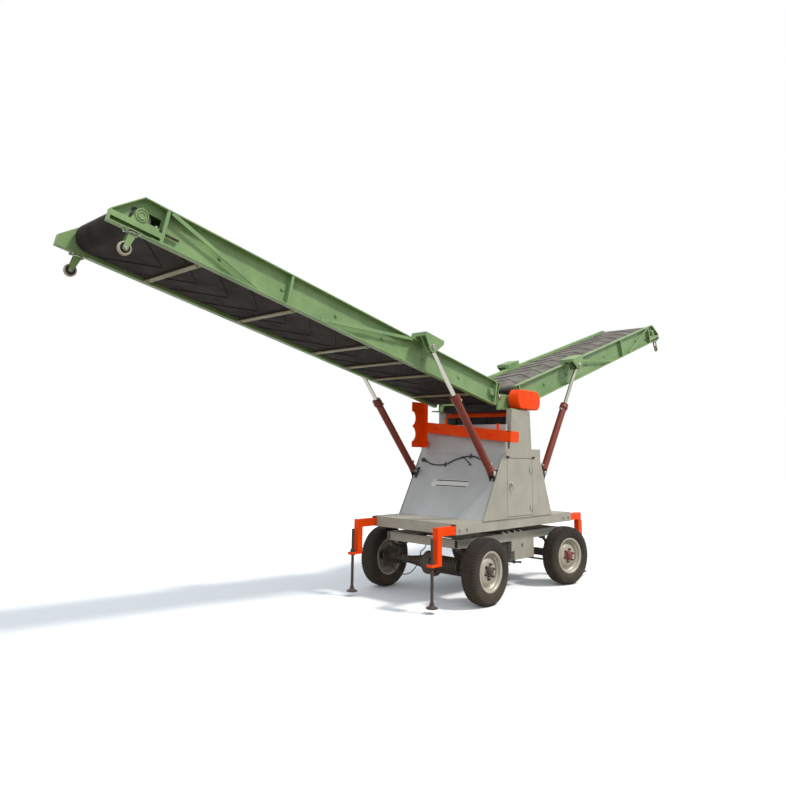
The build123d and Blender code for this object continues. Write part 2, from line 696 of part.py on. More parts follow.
def slanted_bar(top, bottom, width, thickness):
    """Flat bar between a point on the top edge and one on the bottom edge of the girder."""
    run, rise = bottom[0] - top[0], bottom[1] - top[1]
    length = hypot(run, rise)
    middle = ((top[0] + bottom[0]) / 2, (top[1] + bottom[1]) / 2)
    bar = Pos(middle[0], WING_HALF_W - thickness / 2, middle[1])
    return bar * Rot(0, -degrees(atan2(rise, run)), 0) * Box(length, thickness, width)


def girder():
    """Left-hand girder: web, flanges, gabled end, posts, diagonals and what it carries."""
    web_outline = (
        (INNER_END_BOTTOM, GIRDER_BOTTOM), (INNER_END_TOP, GIRDER_TOP), (GABLE_S, GIRDER_TOP),
        (TIP_S, TIP_N), (TIP_S, GIRDER_BOTTOM))
    body = side_plate(web_outline, WEB)
    body -= block(WINDOW_S, (WEB[0] - 1, WEB[1] + 1), (GUIDE_N, WINDOW_TOP))
    top = (GIRDER_TOP - FLANGE_T, GIRDER_TOP)
    bottom = (GIRDER_BOTTOM, GIRDER_BOTTOM + FLANGE_T)
    body += block((INNER_END_TOP + FLANGE_T, GABLE_S), FLANGE, top)
    body += block((INNER_END_BOTTOM, TIP_S), FLANGE, bottom)
    gable = ((GABLE_S, GIRDER_TOP), (TIP_S, TIP_N), (TIP_S, TIP_N - FLANGE_T * 1.5),
             (GABLE_S, GIRDER_TOP - FLANGE_T * 1.5))
    body += side_plate(gable, FLANGE)
    body += block((TIP_S - FLANGE_T, TIP_S), FLANGE, (GIRDER_BOTTOM, TIP_N))
    doubling = (WEB_IN, WEB[1] + CREASE_T)
    body += block((INNER_END_BOTTOM, POST_S[-1]), doubling, (GIRDER_BOTTOM, CREASE_N))
    for s in POST_S:
        body += block((s - BRACE_T / 2, s + BRACE_T / 2), FLANGE, (GIRDER_BOTTOM, GIRDER_TOP))
        lip = (WING_HALF_W - BRACE_T, WING_HALF_W)
        body += block((s - POST_L / 2, s + POST_L / 2), lip, (GIRDER_BOTTOM, GIRDER_TOP))
    for s_top, s_bottom in DIAGONALS:
        ends = (s_top, GIRDER_TOP - DIAGONAL_W / 2), (s_bottom, GIRDER_BOTTOM + DIAGONAL_W / 2)
        body += slanted_bar(*ends, DIAGONAL_W, BRACE_T)
    body += round_y(DRUM_S[0], DRUM_N, BEARING_R, (WEB_IN, WEB[1] + BEARING_T))
    return body + take_up() + hinge_lug() + cylinder_bracket() + caster_plate()


def take_up():
    """Guide angle in the end bay with the outer drum's bearing block standing on it."""
    s = (POST_S[-1], TIP_S)
    shape = block(s, FLANGE, (GUIDE_N - FLANGE_T, GUIDE_N))
    shape += block(s, (WING_HALF_W - FLANGE_T, WING_HALF_W), (GUIDE_LIP, GUIDE_N))
    shape += block(BLOCK_S, BLOCK_Y, (GUIDE_N, GUIDE_N + BLOCK_H))
    shape += block((DRUM_S[1] - BLOCK_R, DRUM_S[1] + BLOCK_R), BLOCK_Y, (GUIDE_N, DRUM_N))
    shape += round_y(DRUM_S[1], DRUM_N, BLOCK_R, BLOCK_Y)
    return shape - round_y(DRUM_S[1], DRUM_N, SHAFT_R + FIT, (BLOCK_Y[0] - 1, BLOCK_Y[0] + BLOCK_BORE))


def hinge_lug():
    """Lug inside the web, with the hole for the wing pin."""
    y = (WEB_IN - LUG_T, WEB_IN)
    lug = block((0, LUG_L), y, (-LUG_HALF_H, LUG_HALF_H)) + round_y(0, 0, LUG_R, y)
    lug -= block((-LUG_R, INNER_END_TOP), y, (LUG_R, LUG_HALF_H + 1))
    lug -= block((-LUG_R, INNER_END_TOP), y, (-LUG_HALF_H - 1, -LUG_R))
    return lug - round_y(0, 0, PIN_R + RUN, (y[0] - 1, y[1] + 1))


def cylinder_bracket():
    """Roofed pair of cheeks outside the girder that hold the rod's eye."""
    half = EYE_W / 2 + FIT
    floor = ROD_PIN_N - BRACKET_DROP
    middle = (BRACKET_S[0] + BRACKET_S[1]) / 2
    shape = block(BRACKET_S, (WEB_IN, CYL_Y + half + CHEEK_T), BRACKET_ROOF)
    shape += block(BRACKET_S, FLANGE, (GIRDER_TOP - FLANGE_T, BRACKET_ROOF[0]))
    for y in ((CYL_Y - half - CHEEK_T, CYL_Y - half), (CYL_Y + half, CYL_Y + half + CHEEK_T)):
        cheek = ((BRACKET_S[0], BRACKET_ROOF[0]), (BRACKET_S[1], BRACKET_ROOF[0]),
                 (ROD_PIN_S + CHEEK_R, floor), (ROD_PIN_S - CHEEK_R, floor))
        shape += side_plate(cheek, y)
    gusset = (middle - BRACE_T, middle + BRACE_T)
    shape += block(gusset, (WING_HALF_W - BRACE_T, CYL_Y - half), (floor, BRACKET_ROOF[0]))
    return shape


CASTER_S = TIP_S - CASTER_BACK


def caster_plate():
    """Plate under the girder's end that the caster swivels on."""
    length, width, thick = CASTER_PLATE
    s = (CASTER_S - length / 2, CASTER_S + length / 2)
    y = (CASTER_Y - width / 2, CASTER_Y + width / 2)
    return block(s, y, (GIRDER_BOTTOM - thick, GIRDER_BOTTOM))


def cross_members():
    """Flat bars across the underside between the two webs."""
    width = (-WEB_IN, WEB_IN)
    rows = (GIRDER_BOTTOM, GIRDER_BOTTOM + CROSS_H)
    return [block((s - CROSS_L / 2, s + CROSS_L / 2), width, rows) for s in CROSS_S]


def bed():
    """Sheet under the carrying strand, between the webs."""
    ends = (DRUM_S[0] + PULLEY_R + BED_CLEAR, DRUM_S[1] - PULLEY_R - BED_CLEAR)
    top = DRUM_N + PULLEY_R - FIT
    return block(ends, (-WEB_IN, WEB_IN), (top - BED_T, top))


def loop_face(radius):
    """Outline of a strand running round both drums at a given radius."""
    top, low = DRUM_N + radius, DRUM_N - radius
    inner, outer = DRUM_S
    edges = [
        Line((inner, top), (outer, top)),
        ThreePointArc((outer, top), (outer + radius, DRUM_N), (outer, low)),
        Line((outer, low), (inner, low)),
        ThreePointArc((inner, low), (inner - radius, DRUM_N), (inner, top)),
    ]
    return make_face(Curve() + edges)


def chevrons():
    """V ribs: outwards on the carrying strand and, turned over the loop's middle, on the returning one."""
    top = DRUM_N + PULLEY_R + FIT + BELT_T
    middle = Pos((DRUM_S[0] + DRUM_S[1]) / 2, 0, DRUM_N)
    ribs = []
    for k in range(int((DRUM_S[1] - CHEVRON_S) // CHEVRON_PITCH) + 1):
        point = CHEVRON_S + k * CHEVRON_PITCH
        back = point - CHEVRON_RUN
        outline = Polyline(
            (point, 0), (back, CHEVRON_HALF_W), (back - CHEVRON_L, CHEVRON_HALF_W), (point - CHEVRON_L, 0),
            (back - CHEVRON_L, -CHEVRON_HALF_W), (back, -CHEVRON_HALF_W), close=True)
        rib = Pos(0, 0, top - 1) * extrude(make_face(outline), amount=CHEVRON_H + 1)
        ribs += [rib, middle * Rot(0, 180, 0) * middle.inverse() * rib]
    return ribs


def belt():
    """Endless belt round both drums, with its chevron ribs."""
    face = Plane.XZ * (loop_face(PULLEY_R + FIT + BELT_T) - loop_face(PULLEY_R + FIT))
    return Pos(0, BELT_HALF_W, 0) * extrude(face, amount=2 * BELT_HALF_W) + chevrons()


def drums():
    """The two drums with their shafts, seated against the girders."""
    shell = round_y(0, 0, PULLEY_R, (-PULLEY_HALF_L, PULLEY_HALF_L))
    seats = zip(DRUM_S, (WEB_IN - LUG_T, BLOCK_Y[0] + BLOCK_BORE))
    return [Pos(s, 0, DRUM_N) * (shell + round_y(0, 0, SHAFT_R, (-seat, seat))) for s, seat in seats]


FORK_TOP = GIRDER_BOTTOM - CASTER_PLATE[2] - FIT


def caster_fork(y):
    """Swivel head with two cheeks that trail outwards, and the axle pin."""
    head = round_z(CASTER_S, y, FORK_HEAD_R, (FORK_TOP - FORK_HEAD_H, FORK_TOP))
    wheel_s = CASTER_S + CASTER_TRAIL
    gap = CASTER_W / 2 + FORK_CLEAR
    low = FORK_TOP - FORK_HEAD_H
    for side in (-1, 1):
        band = sorted((y + side * gap, y + side * (gap + FORK_CHEEK)))
        cheek = ((CASTER_S - FORK_HALF_L, low + FORK_CHEEK), (CASTER_S + FORK_HALF_L, low + FORK_CHEEK),
                 (wheel_s + FORK_FOOT, CASTER_N - FORK_FOOT), (wheel_s - FORK_FOOT, CASTER_N - FORK_FOOT))
        head += side_plate(cheek, band)
    half = gap + FORK_CHEEK
    crown_s = (CASTER_S - FORK_HALF_L, CASTER_S + FORK_HALF_L)
    head += block(crown_s, (y - half, y + half), (low, low + FORK_CHEEK))
    grip = half - FORK_CHEEK / 2
    return head + round_y(wheel_s, CASTER_N, CASTER_PIN_R, (y - grip, y + grip))


def caster_wheel(y):
    """Small solid wheel on the fork's pin."""
    wheel = round_y(CASTER_S + CASTER_TRAIL, CASTER_N, CASTER_R, (y - CASTER_W / 2, y + CASTER_W / 2))
    hole = round_y(CASTER_S + CASTER_TRAIL, CASTER_N, CASTER_PIN_R + RUN, (y - CASTER_W, y + CASTER_W))
    return wheel - hole


# Lifting cylinders

def foot_pin(foot, knee):
    """Pin of a cylinder foot, FOOT_OFF out from the sloping face at the height FOOT_Z."""
    run, rise = knee[0] - foot[0], knee[1] - foot[1]
    x = foot[0] + run * (FOOT_Z - foot[1]) / rise
    length = hypot(run, rise)
    way = -1 if run > 0 else 1
    return (x + way * FOOT_OFF * rise / length, FOOT_Z - way * FOOT_OFF * run / length)


REAR_PIN = foot_pin(REAR_FOOT, REAR_CREASE)
FRONT_PIN = foot_pin(FRONT_FOOT, FRONT_KNEE)


def rod_eye(front):
    """Rod pin of a wing's bracket in the machine's frame, at rest."""
    angle = radians(FRONT_ANGLE if front else REAR_ANGLE)
    out = PIN_X + ROD_PIN_S * cos(angle) - ROD_PIN_N * sin(angle)
    up = PIN_Z + ROD_PIN_S * sin(angle) + ROD_PIN_N * cos(angle)
    return (out if front else -out, up)


def along(front):
    """Placement with its X axis from a cylinder's foot pin to its rod eye."""
    pin, eye = (FRONT_PIN if front else REAR_PIN), rod_eye(front)
    tilt = degrees(atan2(eye[1] - pin[1], eye[0] - pin[0]))
    return Pos(pin[0], 0, pin[1]) * Rot(0, -tilt, 0)


def reach(front):
    """Distance from a cylinder's foot pin to its rod eye at rest."""
    pin, eye = (FRONT_PIN if front else REAR_PIN), rod_eye(front)
    return hypot(eye[0] - pin[0], eye[1] - pin[1])


def cylinder_feet(front):
    """Clevis with its pin on the sloping wall, left and right."""
    foot, knee = (FRONT_FOOT, FRONT_KNEE) if front else (REAR_FOOT, REAR_CREASE)
    pin = FRONT_PIN if front else REAR_PIN
    slope = degrees(atan2(knee[1] - foot[1], knee[0] - foot[0]))
    length, thick = FOOT_PLATE
    half = EYE_W / 2 + FIT
    away = -1 if front else 1
    base = (-away * FOOT_OFF, -away * (FOOT_OFF - thick))
    clevis = block((-length / 2, length / 2), (CYL_Y - half - CHEEK_T, CYL_Y + half + CHEEK_T), sorted(base))
    for y in ((CYL_Y - half - CHEEK_T, CYL_Y - half), (CYL_Y + half, CYL_Y + half + CHEEK_T)):
        cheek = ((-length / 2 + thick, base[1]), (length / 2 - thick, base[1]), (CHEEK_R, 0),
                 (CHEEK_R / 2, away * CHEEK_R), (-CHEEK_R / 2, away * CHEEK_R), (-CHEEK_R, 0))
        clevis += side_plate(cheek, y)
    grip = half + CHEEK_T / 2
    clevis += round_y(0, 0, CYL_PIN_R, (CYL_Y - grip, CYL_Y + grip))
    return both_sides(Pos(pin[0], 0, pin[1]) * Rot(0, -slope, 0) * clevis)


def barrels(front):
    """Two cylinder barrels with a gland collar at the head and a flat neck and eye at the foot."""
    width = (CYL_Y - EYE_W / 2, CYL_Y + EYE_W / 2)
    tube = round_y(0, 0, EYE_R, width) + block((0, BARREL_FOOT), width, (-EYE_R, EYE_R))
    tube += round_x(CYL_Y, 0, BARREL_R, (BARREL_FOOT, BARREL_L))
    tube += round_x(CYL_Y, 0, GLAND_R, (BARREL_L - GLAND_L, BARREL_L))
    tube -= round_x(CYL_Y, 0, ROD_R + FIT, (BARREL_L - ROD_INSIDE - ROD_STROKE, BARREL_L + 1))
    tube -= round_y(0, 0, CYL_PIN_R + RUN, (CYL_Y - EYE_W, CYL_Y + EYE_W))
    return both_sides(along(front) * tube)


def rods(front):
    """Two piston rods with flat necks and eyes at the top."""
    end = reach(front)
    width = (CYL_Y - EYE_W / 2, CYL_Y + EYE_W / 2)
    rod = round_x(CYL_Y, 0, ROD_R, (BARREL_L - ROD_INSIDE, end - ROD_NECK))
    rod += round_y(end, 0, ROD_EYE_R, width) + block((end - ROD_NECK, end), width, (-ROD_R, ROD_R))
    rod -= round_y(end, 0, ROD_PIN_R, (CYL_Y - EYE_W, CYL_Y + EYE_W))
    return both_sides(along(front) * rod)


# Orange pieces on the tower

def beam_z(y):
    """Height of the cross beam's middle line at a place across the machine."""
    return BEAM_Z + (y - (BEAM_Y[0] + BEAM_Y[1]) / 2) * tan(radians(BEAM_TILT))


def cross_beam():
    """Channel across the rear of the tower, lower on the right, with seats, lugs and a rounded end plate."""
    middle_y = (BEAM_Y[0] + BEAM_Y[1]) / 2
    half, high = (BEAM_Y[1] - BEAM_Y[0]) / 2, BEAM_H / 2
    beam = channel_y((-half, half), *BEAM_X, (-high, high), BEAM_T)
    corner_x, corner_z = BEAM_END - BEAM_ROUND, high - BEAM_ROUND
    bow = BEAM_ROUND * cos(radians(45))
    beam += edge_plate([
        Line((corner_x, high), (BEAM_X[0], high)),
        Line((BEAM_X[0], high), (BEAM_X[0], -high)),
        Line((BEAM_X[0], -high), (BEAM_END, -high)),
        Line((BEAM_END, -high), (BEAM_END, corner_z)),
        ThreePointArc((BEAM_END, corner_z), (corner_x + bow, corner_z + bow), (corner_x, high)),
    ], (-half, -half + BEAM_T))
    beam = Pos(0, middle_y, BEAM_Z) * Rot(BEAM_TILT, 0, 0) * beam
    web = BEAM_X[0] + BEAM_T
    for y in BEAM_SEAT_Y:
        low, top = beam_z(y) - BEAM_SEAT, beam_z(y) + BEAM_SEAT
        seat = ((web, low), (plate_x(low), low), (plate_x(top), top), (web, top))
        beam += side_plate(seat, (y - BEAM_SEAT, y + BEAM_SEAT))
    for y in BEAM_LUG_Y:
        z = (beam_z(y), beam_z(y) + high + BEAM_LUG_H)
        beam += block((BEAM_X[0], web), (y - BEAM_LUG_W / 2, y + BEAM_LUG_W / 2), z)
    return beam - block((2 * BEAM_X[0], 0), (BEAM_CUT, 2 * BEAM_CUT), (ROOF_Z, PIN_Z))


def top_beam():
    """Channel between the two columns under the wings' inner ends."""
    y = (COLUMN_RIGHT_W - TOWER_HALF_W, TOWER_HALF_W - COLUMN_LEFT_W)
    return channel_y(y, *TOP_BEAM_X, TOP_BEAM_Z, BEAM_T)


def scalloped_bracket():
    """Angle at the cross beam's left end: a leg with two hollows in its edge, a plain leg and two stays."""
    left, right = SCALLOP_X
    low, high = SCALLOP_Z
    crown, point, foot = high - SCALLOP_CROWN, low + SCALLOP_POINT, low + SCALLOP_FOOT
    shape = edge_plate([
        Line((right, low), (right, high)),
        Line((right, high), (left, high)),
        Line((left, high), (left, crown)),
        Line((left, crown), (SCALLOP_NECK, crown)),
        ThreePointArc((SCALLOP_NECK, crown), (SCALLOP_DEEP, (crown + point) / 2), (left, point)),
        ThreePointArc((left, point), (SCALLOP_DEEP, (point + foot) / 2), (left, foot)),
        Line((left, foot), (left, low)),
        Line((left, low), (right, low)),
    ], SCALLOP_Y)
    thick = SCALLOP_Y[1] - SCALLOP_Y[0]
    shape += block((left, right), (SCALLOP_Y[0] - thick, SCALLOP_Y[1]), (crown, crown + SCALLOP_BAND))
    shape += block((right - thick, right), (BEAM_CUT, SCALLOP_Y[1]), (low, high))
    for z in SCALLOP_STAYS:
        half = (STAY_Y[1] - STAY_Y[0]) / 2
        below, above = z - half, z + half
        stay = ((right, below), (plate_x(below), below), (plate_x(above), above), (right, above))
        shape += side_plate(stay, STAY_Y)
    return shape


def drive_cover():
    """Guard with bulged ends over the drive at the hinge, on a foot on the right column."""
    low, high = COVER_Z
    ends = (COVER_X[0] + COVER_BULGE, COVER_X[1] - COVER_BULGE)
    middle = (low + high) / 2
    cover = edge_plate([
        Line((ends[0], high), (ends[1], high)),
        ThreePointArc((ends[1], high), (COVER_X[1], middle), (ends[1], low)),
        Line((ends[1], low), (ends[0], low)),
        ThreePointArc((ends[0], low), (COVER_X[0], middle), (ends[0], high)),
    ], COVER_Y)
    return cover + block(*COVER_FOOT, (COLUMN_TOP, middle))


def build():
    """Write every node."""
    os.makedirs("parts", exist_ok=True)
    corners = (("front", "right"), ("front", "left"), ("rear", "right"), ("rear", "left"))
    tyre, rim = wheel_tyre(), wheel_rim()
    for end, side in corners:
        spot = (end == "front", side == "left")
        save(f"tyre_{end}_{side}", at_wheel(tyre, *spot))
        save(f"rim_{end}_{side}", at_wheel(rim, *spot))
        save(f"leg_{end}_{side}", leg(*spot))
    save("lower_frame", *lower_frame())
    rail_top = RAIL_BOTTOM + RAIL_H
    save("slew_ring_lower", ring(RING_R, (rail_top, rail_top + RING_LOWER_H)))
    save("drive_axle", drive_axle())
    save("front_axle", front_axle())
    save("leaf_springs", *[spring(x, y) for x in (-HALF_BASE, HALF_BASE) for y in (-SPRING_Y, SPRING_Y)])
    save("equipment_box", equipment_box())
    save("knuckle_right", knuckle(False))
    save("knuckle_left", knuckle(True))
    save("tie_rod", tie_rod())
    save("deck_frame", *deck_frame())
    save("tower_side_right", tower_side(False))
    save("tower_side_left", tower_side(True))
    save("tower_rear", tower_rear())
    save("tower_front", tower_front())
    save("door", door())
    save("power_unit", power_unit())
    save("outriggers", *[outrigger(end == "front", side == "left") for end, side in corners])
    save("hinge_brackets", *both_sides(hinge_bracket()))
    save("cylinder_feet", *cylinder_feet(False), *cylinder_feet(True))
    save("rear_hose", rear_hose())
    save("cross_beam", cross_beam(), top_beam())
    save("scalloped_bracket", scalloped_bracket())
    save("drive_cover", drive_cover())
    left_girder = girder()
    right_girder = mirror(left_girder, about=Plane.XZ)
    for end, place in (("rear", at_rear), ("front", at_front)):
        first, second = (left_girder, right_girder) if end == "front" else (right_girder, left_girder)
        save(f"{end}_girder_left", place(first))
        save(f"{end}_girder_right", place(second))
        save(f"{end}_cross_members", *[place(bar) for bar in cross_members()])
        save(f"{end}_bed", place(bed()))
        save(f"{end}_belt", place(belt()))
        save(f"{end}_drums", *[place(drum) for drum in drums()])
        save(f"{end}_barrels", *barrels(end == "front"))
        save(f"{end}_rods", *rods(end == "front"))
        way = 1 if end == "front" else -1
        for side, y in (("left", CASTER_Y), ("right", -CASTER_Y)):
            save(f"{end}_caster_fork_{side}", place(caster_fork(way * y)))
            save(f"{end}_caster_wheel_{side}", place(caster_wheel(way * y)))


build()
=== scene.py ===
"""Looks of a mobile folding belt conveyor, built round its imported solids.

Everything is in metres in the machine's own frame: the origin lies on the ground under the slewing
axis, +X points to the front (steered axle), +Y to the left and +Z up.  The -Y side has the door.
"""

from __future__ import annotations

import json
import logging
import math
from dataclasses import dataclass
from enum import Enum
from typing import Any, Sequence

import bmesh
import bpy
import numpy as np
from mathutils import Matrix, Vector

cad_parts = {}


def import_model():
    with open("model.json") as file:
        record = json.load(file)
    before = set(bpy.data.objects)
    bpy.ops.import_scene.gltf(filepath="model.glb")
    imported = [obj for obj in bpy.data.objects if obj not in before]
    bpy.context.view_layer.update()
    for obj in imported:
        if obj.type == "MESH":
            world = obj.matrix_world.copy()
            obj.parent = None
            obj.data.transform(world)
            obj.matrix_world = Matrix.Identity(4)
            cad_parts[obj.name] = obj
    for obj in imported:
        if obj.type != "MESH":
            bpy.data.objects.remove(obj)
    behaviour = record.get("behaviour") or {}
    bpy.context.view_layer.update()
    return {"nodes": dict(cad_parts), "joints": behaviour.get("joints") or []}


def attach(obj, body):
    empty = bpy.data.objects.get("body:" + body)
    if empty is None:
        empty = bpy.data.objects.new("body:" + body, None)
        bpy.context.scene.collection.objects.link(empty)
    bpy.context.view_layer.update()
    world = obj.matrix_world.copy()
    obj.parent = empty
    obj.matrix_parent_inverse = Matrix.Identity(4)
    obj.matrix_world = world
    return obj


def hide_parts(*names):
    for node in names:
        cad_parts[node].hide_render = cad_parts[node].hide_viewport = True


LOG = logging.getLogger("conveyor")
IMAGE = (786, 800)
SHARP_ANGLE = math.radians(35.0)
# Points nearer than this are one, and fittings are sunk this far into what carries them
MERGE, SINK = 1e-6, 0.001
SIDES = (-1.0, 1.0)
ENDS = ("rear", "front")
HANDS = ("right", "left")

Array = np.ndarray
Rgb = tuple[float, float, float]
Rgba = tuple[float, float, float, float]
Point = tuple[float, float, float]
Pair = tuple[float, float]
Rows = Sequence[Sequence[float]]

ORIGIN: Point = (0.0, 0.0, 0.0)
AHEAD: Point = (1.0, 0.0, 0.0)
BACK: Point = (-1.0, 0.0, 0.0)
LEFT: Point = (0.0, 1.0, 0.0)
RIGHT: Point = (0.0, -1.0, 0.0)
UP: Point = (0.0, 0.0, 1.0)
DOWN: Point = (0.0, 0.0, -1.0)
# Axes that stand a flat outline upright along the machine, its thickness to the right
UPRIGHT = (AHEAD, UP, RIGHT)

# Foot and knee of the tower's sloping walls as (x, z)
REAR_WALL: tuple[Pair, Pair] = ((-0.818, 0.894), (-0.383, 1.678))
FRONT_WALL: tuple[Pair, Pair] = ((0.788, 0.894), (0.511, 1.596))


# Surfaces worked out on grids

@dataclass
class Surface:
    """Points of a surface and the index rows of its faces."""

    points: Array
    faces: list[list[int]]

    @staticmethod
    def joined(parts: Sequence["Surface"]) -> "Surface":
        """Put several surfaces into one.

        Args:
            parts: surfaces to join.

        Returns:
            One surface with the faces renumbered.
        """
        points, faces, start = [], [], 0
        for part in parts:
            points.append(part.points)
            faces.extend([[i + start for i in face] for face in part.faces])
            start += len(part.points)
        return Surface(np.vstack(points), faces)

    def moved(self, axes: Rows, origin: Sequence[float]) -> "Surface":
        """Same surface in another frame: origin + x * first axis + y * second + z * third.

        Args:
            axes: images of the x, y and z axes.
            origin: image of the origin.

        Returns:
            The moved surface.
        """
        return Surface(self.points @ np.asarray(axes, float) + np.asarray(origin, float), self.faces)


def sideways(side: float) -> Point:
    """Direction across the machine: -1 to the right, 1 to the left."""
    return (0.0, side, 0.0)


def unit(vector: Sequence[float]) -> Array:
    """Return the vector at length one."""
    array = np.asarray(vector, float)
    return array / np.linalg.norm(array)


def square_axes(axis: Sequence[float], hint: Sequence[float] = UP) -> tuple[Array, Array]:
    """Two unit vectors square to an axis and to each other.

    Args:
        axis: direction that both are square to.
        hint: direction that the second one leans to.

    Returns:
        The pair, which makes a right-handed frame with the axis last.
    """
    along = unit(axis)
    lean = np.asarray(hint, float)
    if abs(float(np.dot(along, unit(lean)))) > 0.98:
        lean = np.array(AHEAD if abs(along[0]) < 0.9 else LEFT)
    first = unit(np.cross(lean, along))
    return first, np.cross(along, first)


def grid_faces(rows: int, cols: int, wrap_rows: bool = False, wrap_cols: bool = False) -> list[list[int]]:
    """Quads between neighbours of a grid of points numbered row by row.

    Args:
        rows: number of rows.
        cols: number of columns.
        wrap_rows: join the last row to the first.
        wrap_cols: join the last column to the first.

    Returns:
        Index rows of the quads.
    """
    i, j = np.meshgrid(np.arange(rows - (not wrap_rows)), np.arange(cols - (not wrap_cols)), indexing="ij")
    below, right = (i + 1) % rows, (j + 1) % cols
    quads = np.stack([i * cols + j, i * cols + right, below * cols + right, below * cols + j], -1)
    return quads.reshape(-1, 4).tolist()


def revolved(profile: Rows, centre: Sequence[float], axis: Sequence[float], sides: int = 64,
             loop: bool = False) -> Surface:
    """Turn a profile round an axis: centre + height * axis + radius * (cos a * u + sin a * v).

    Args:
        profile: rows of (radius, height).
        centre: point on the axis at height zero.
        axis: direction of the axis.
        sides: steps of the turn.
        loop: join the profile's last point to its first.

    Returns:
        The surface of the turn.
    """
    u, v = square_axes(axis)
    turn = np.linspace(0.0, 2.0 * np.pi, sides, endpoint=False)
    ring = np.cos(turn)[:, None] * u + np.sin(turn)[:, None] * v
    profile = np.asarray(profile, float)
    radius, height = profile[:, None, 0:1], profile[:, None, 1:2]
    points = np.asarray(centre, float) + height * unit(axis) + radius * ring[None]
    return Surface(points.reshape(-1, 3), grid_faces(len(profile), sides, loop, True))


def swept(outline: Rows, path: Rows, hint: Sequence[float] = UP, closed: bool = False) -> Surface:
    """Carry an outline along a path: path + x * across + y * up, square to the path at each station.

    Args:
        outline: rows of (x, y), counter-clockwise when seen against the path.
        path: stations of the path.
        hint: direction that the outline's y leans to.
        closed: the path ends where it begins.

    Returns:
        The swept surface, with flat ends where the path is open.
    """
    path = np.asarray(path, float)
    if closed:
        tangent = np.roll(path, -1, 0) - np.roll(path, 1, 0)
    else:
        tangent = np.gradient(path, axis=0) if len(path) > 2 else np.repeat(path[1:] - path[:1], 2, 0)
    tangent /= np.linalg.norm(tangent, axis=1, keepdims=True)
    lean = np.broadcast_to(np.asarray(hint, float), tangent.shape)
    across = np.cross(tangent, lean)
    across /= np.linalg.norm(across, axis=1, keepdims=True)
    up = np.cross(across, tangent)
    outline = np.asarray(outline, float)
    points = path[:, None] + outline[None, :, :1] * across[:, None] + outline[None, :, 1:] * up[:, None]
    count = len(outline)
    faces = grid_faces(len(path), count, closed, True)
    if not closed:
        faces.append(list(range(count))[::-1])
        faces.append(list(range((len(path) - 1) * count, len(path) * count)))
    return Surface(points.reshape(-1, 3), faces)


def circle(radius: float, sides: int = 16) -> Array:
    """Outline of a circle."""
    turn = np.linspace(0.0, 2.0 * np.pi, sides, endpoint=False)
    return radius * np.stack([np.cos(turn), np.sin(turn)], -1)


def rounded(width: float, height: float, radius: float, steps: int = 4) -> Array:
    """Outline of a rectangle with round corners.

    Args:
        width: full size along x.
        height: full size along y.
        radius: corner radius.
        steps: points on each corner less one.

    Returns:
        Rows of (x, y).
    """
    turn = (np.arange(4)[:, None] * 90.0 + np.linspace(0.0, 90.0, steps + 1)[None]) * np.pi / 180.0
    corner = np.array([[1, 1], [-1, 1], [-1, -1], [1, -1]], float)[:, None]
    corner = corner * [width / 2 - radius, height / 2 - radius]
    arc = radius * np.stack([np.cos(turn), np.sin(turn)], -1)
    return (corner + arc).reshape(-1, 2)


def bar(start: Sequence[float], end: Sequence[float], width: float, height: float, radius: float = 0.002,
        hint: Sequence[float] = UP) -> Surface:
    """Straight bar of rounded rectangular section between two points.

    Args:
        start: middle of one end.
        end: middle of the other end.
        width: size square to the hint.
        height: size along the hint.
        radius: corner radius of the section.
        hint: direction that the height leans to.

    Returns:
        The bar's surface.
    """
    return swept(rounded(width, height, radius), np.array([start, end], float), hint)


def slab(low: Sequence[float], high: Sequence[float], edge: float = 0.003) -> Surface:
    """Box between two corners whose section across its longest axis has round corners.

    Args:
        low: lowest corner.
        high: highest corner.
        edge: corner radius.

    Returns:
        The box's surface.
    """
    low, high = np.asarray(low, float), np.asarray(high, float)
    size = high - low
    along = int(np.argmax(size))
    other = [k for k in range(3) if k != along]
    middle = (low + high) / 2
    start, end = middle.copy(), middle.copy()
    start[along], end[along] = low[along], high[along]
    hint = np.zeros(3)
    hint[other[1]] = 1.0
    edge = min(edge, size[other].min() * 0.45)
    return bar(start, end, size[other[0]], size[other[1]], edge, hint)


def smooth_line(points: Rows, per_span: int = 8) -> Array:
    """Curve through points: on each span the cubic of its two points and their neighbours.

    Args:
        points: rows that the line passes through.
        per_span: steps on each span.

    Returns:
        Rows on the curve, the last point included.
    """
    points = np.asarray(points, float)
    ends = np.vstack([2 * points[0] - points[1], points, 2 * points[-1] - points[-2]])
    t = np.linspace(0.0, 1.0, per_span, endpoint=False)[None, :, None]
    a, b, c, d = (ends[k:len(points) - 1 + k, None] for k in range(4))
    curve = 0.5 * (2 * b + (c - a) * t + (2 * a - 5 * b + 4 * c - d) * t**2 + (3 * b - a - 3 * c + d) * t**3)
    return np.vstack([curve.reshape(-1, points.shape[1]), points[-1:]])


def copies(shape: Surface, places: Rows, axes: Rows, hint: Sequence[float] = UP) -> Surface:
    """Repeat a shape made along +Z: each copy is place + x * u + y * v + z * axis.

    Args:
        shape: template round the origin.
        places: where each copy goes.
        axes: direction of the template's +Z in each copy.
        hint: direction that each copy's y leans to.

    Returns:
        All copies as one surface.
    """
    places = np.atleast_2d(np.asarray(places, float))
    axes = np.broadcast_to(np.asarray(axes, float), places.shape)
    frames = np.stack([np.stack([*square_axes(axis, hint), unit(axis)]) for axis in axes])
    points = places[:, None] + np.einsum("pk,nkj->npj", shape.points, frames)
    count = len(shape.points)
    faces = [[i + n * count for i in face] for n in range(len(places)) for face in shape.faces]
    return Surface(points.reshape(-1, 3), faces)


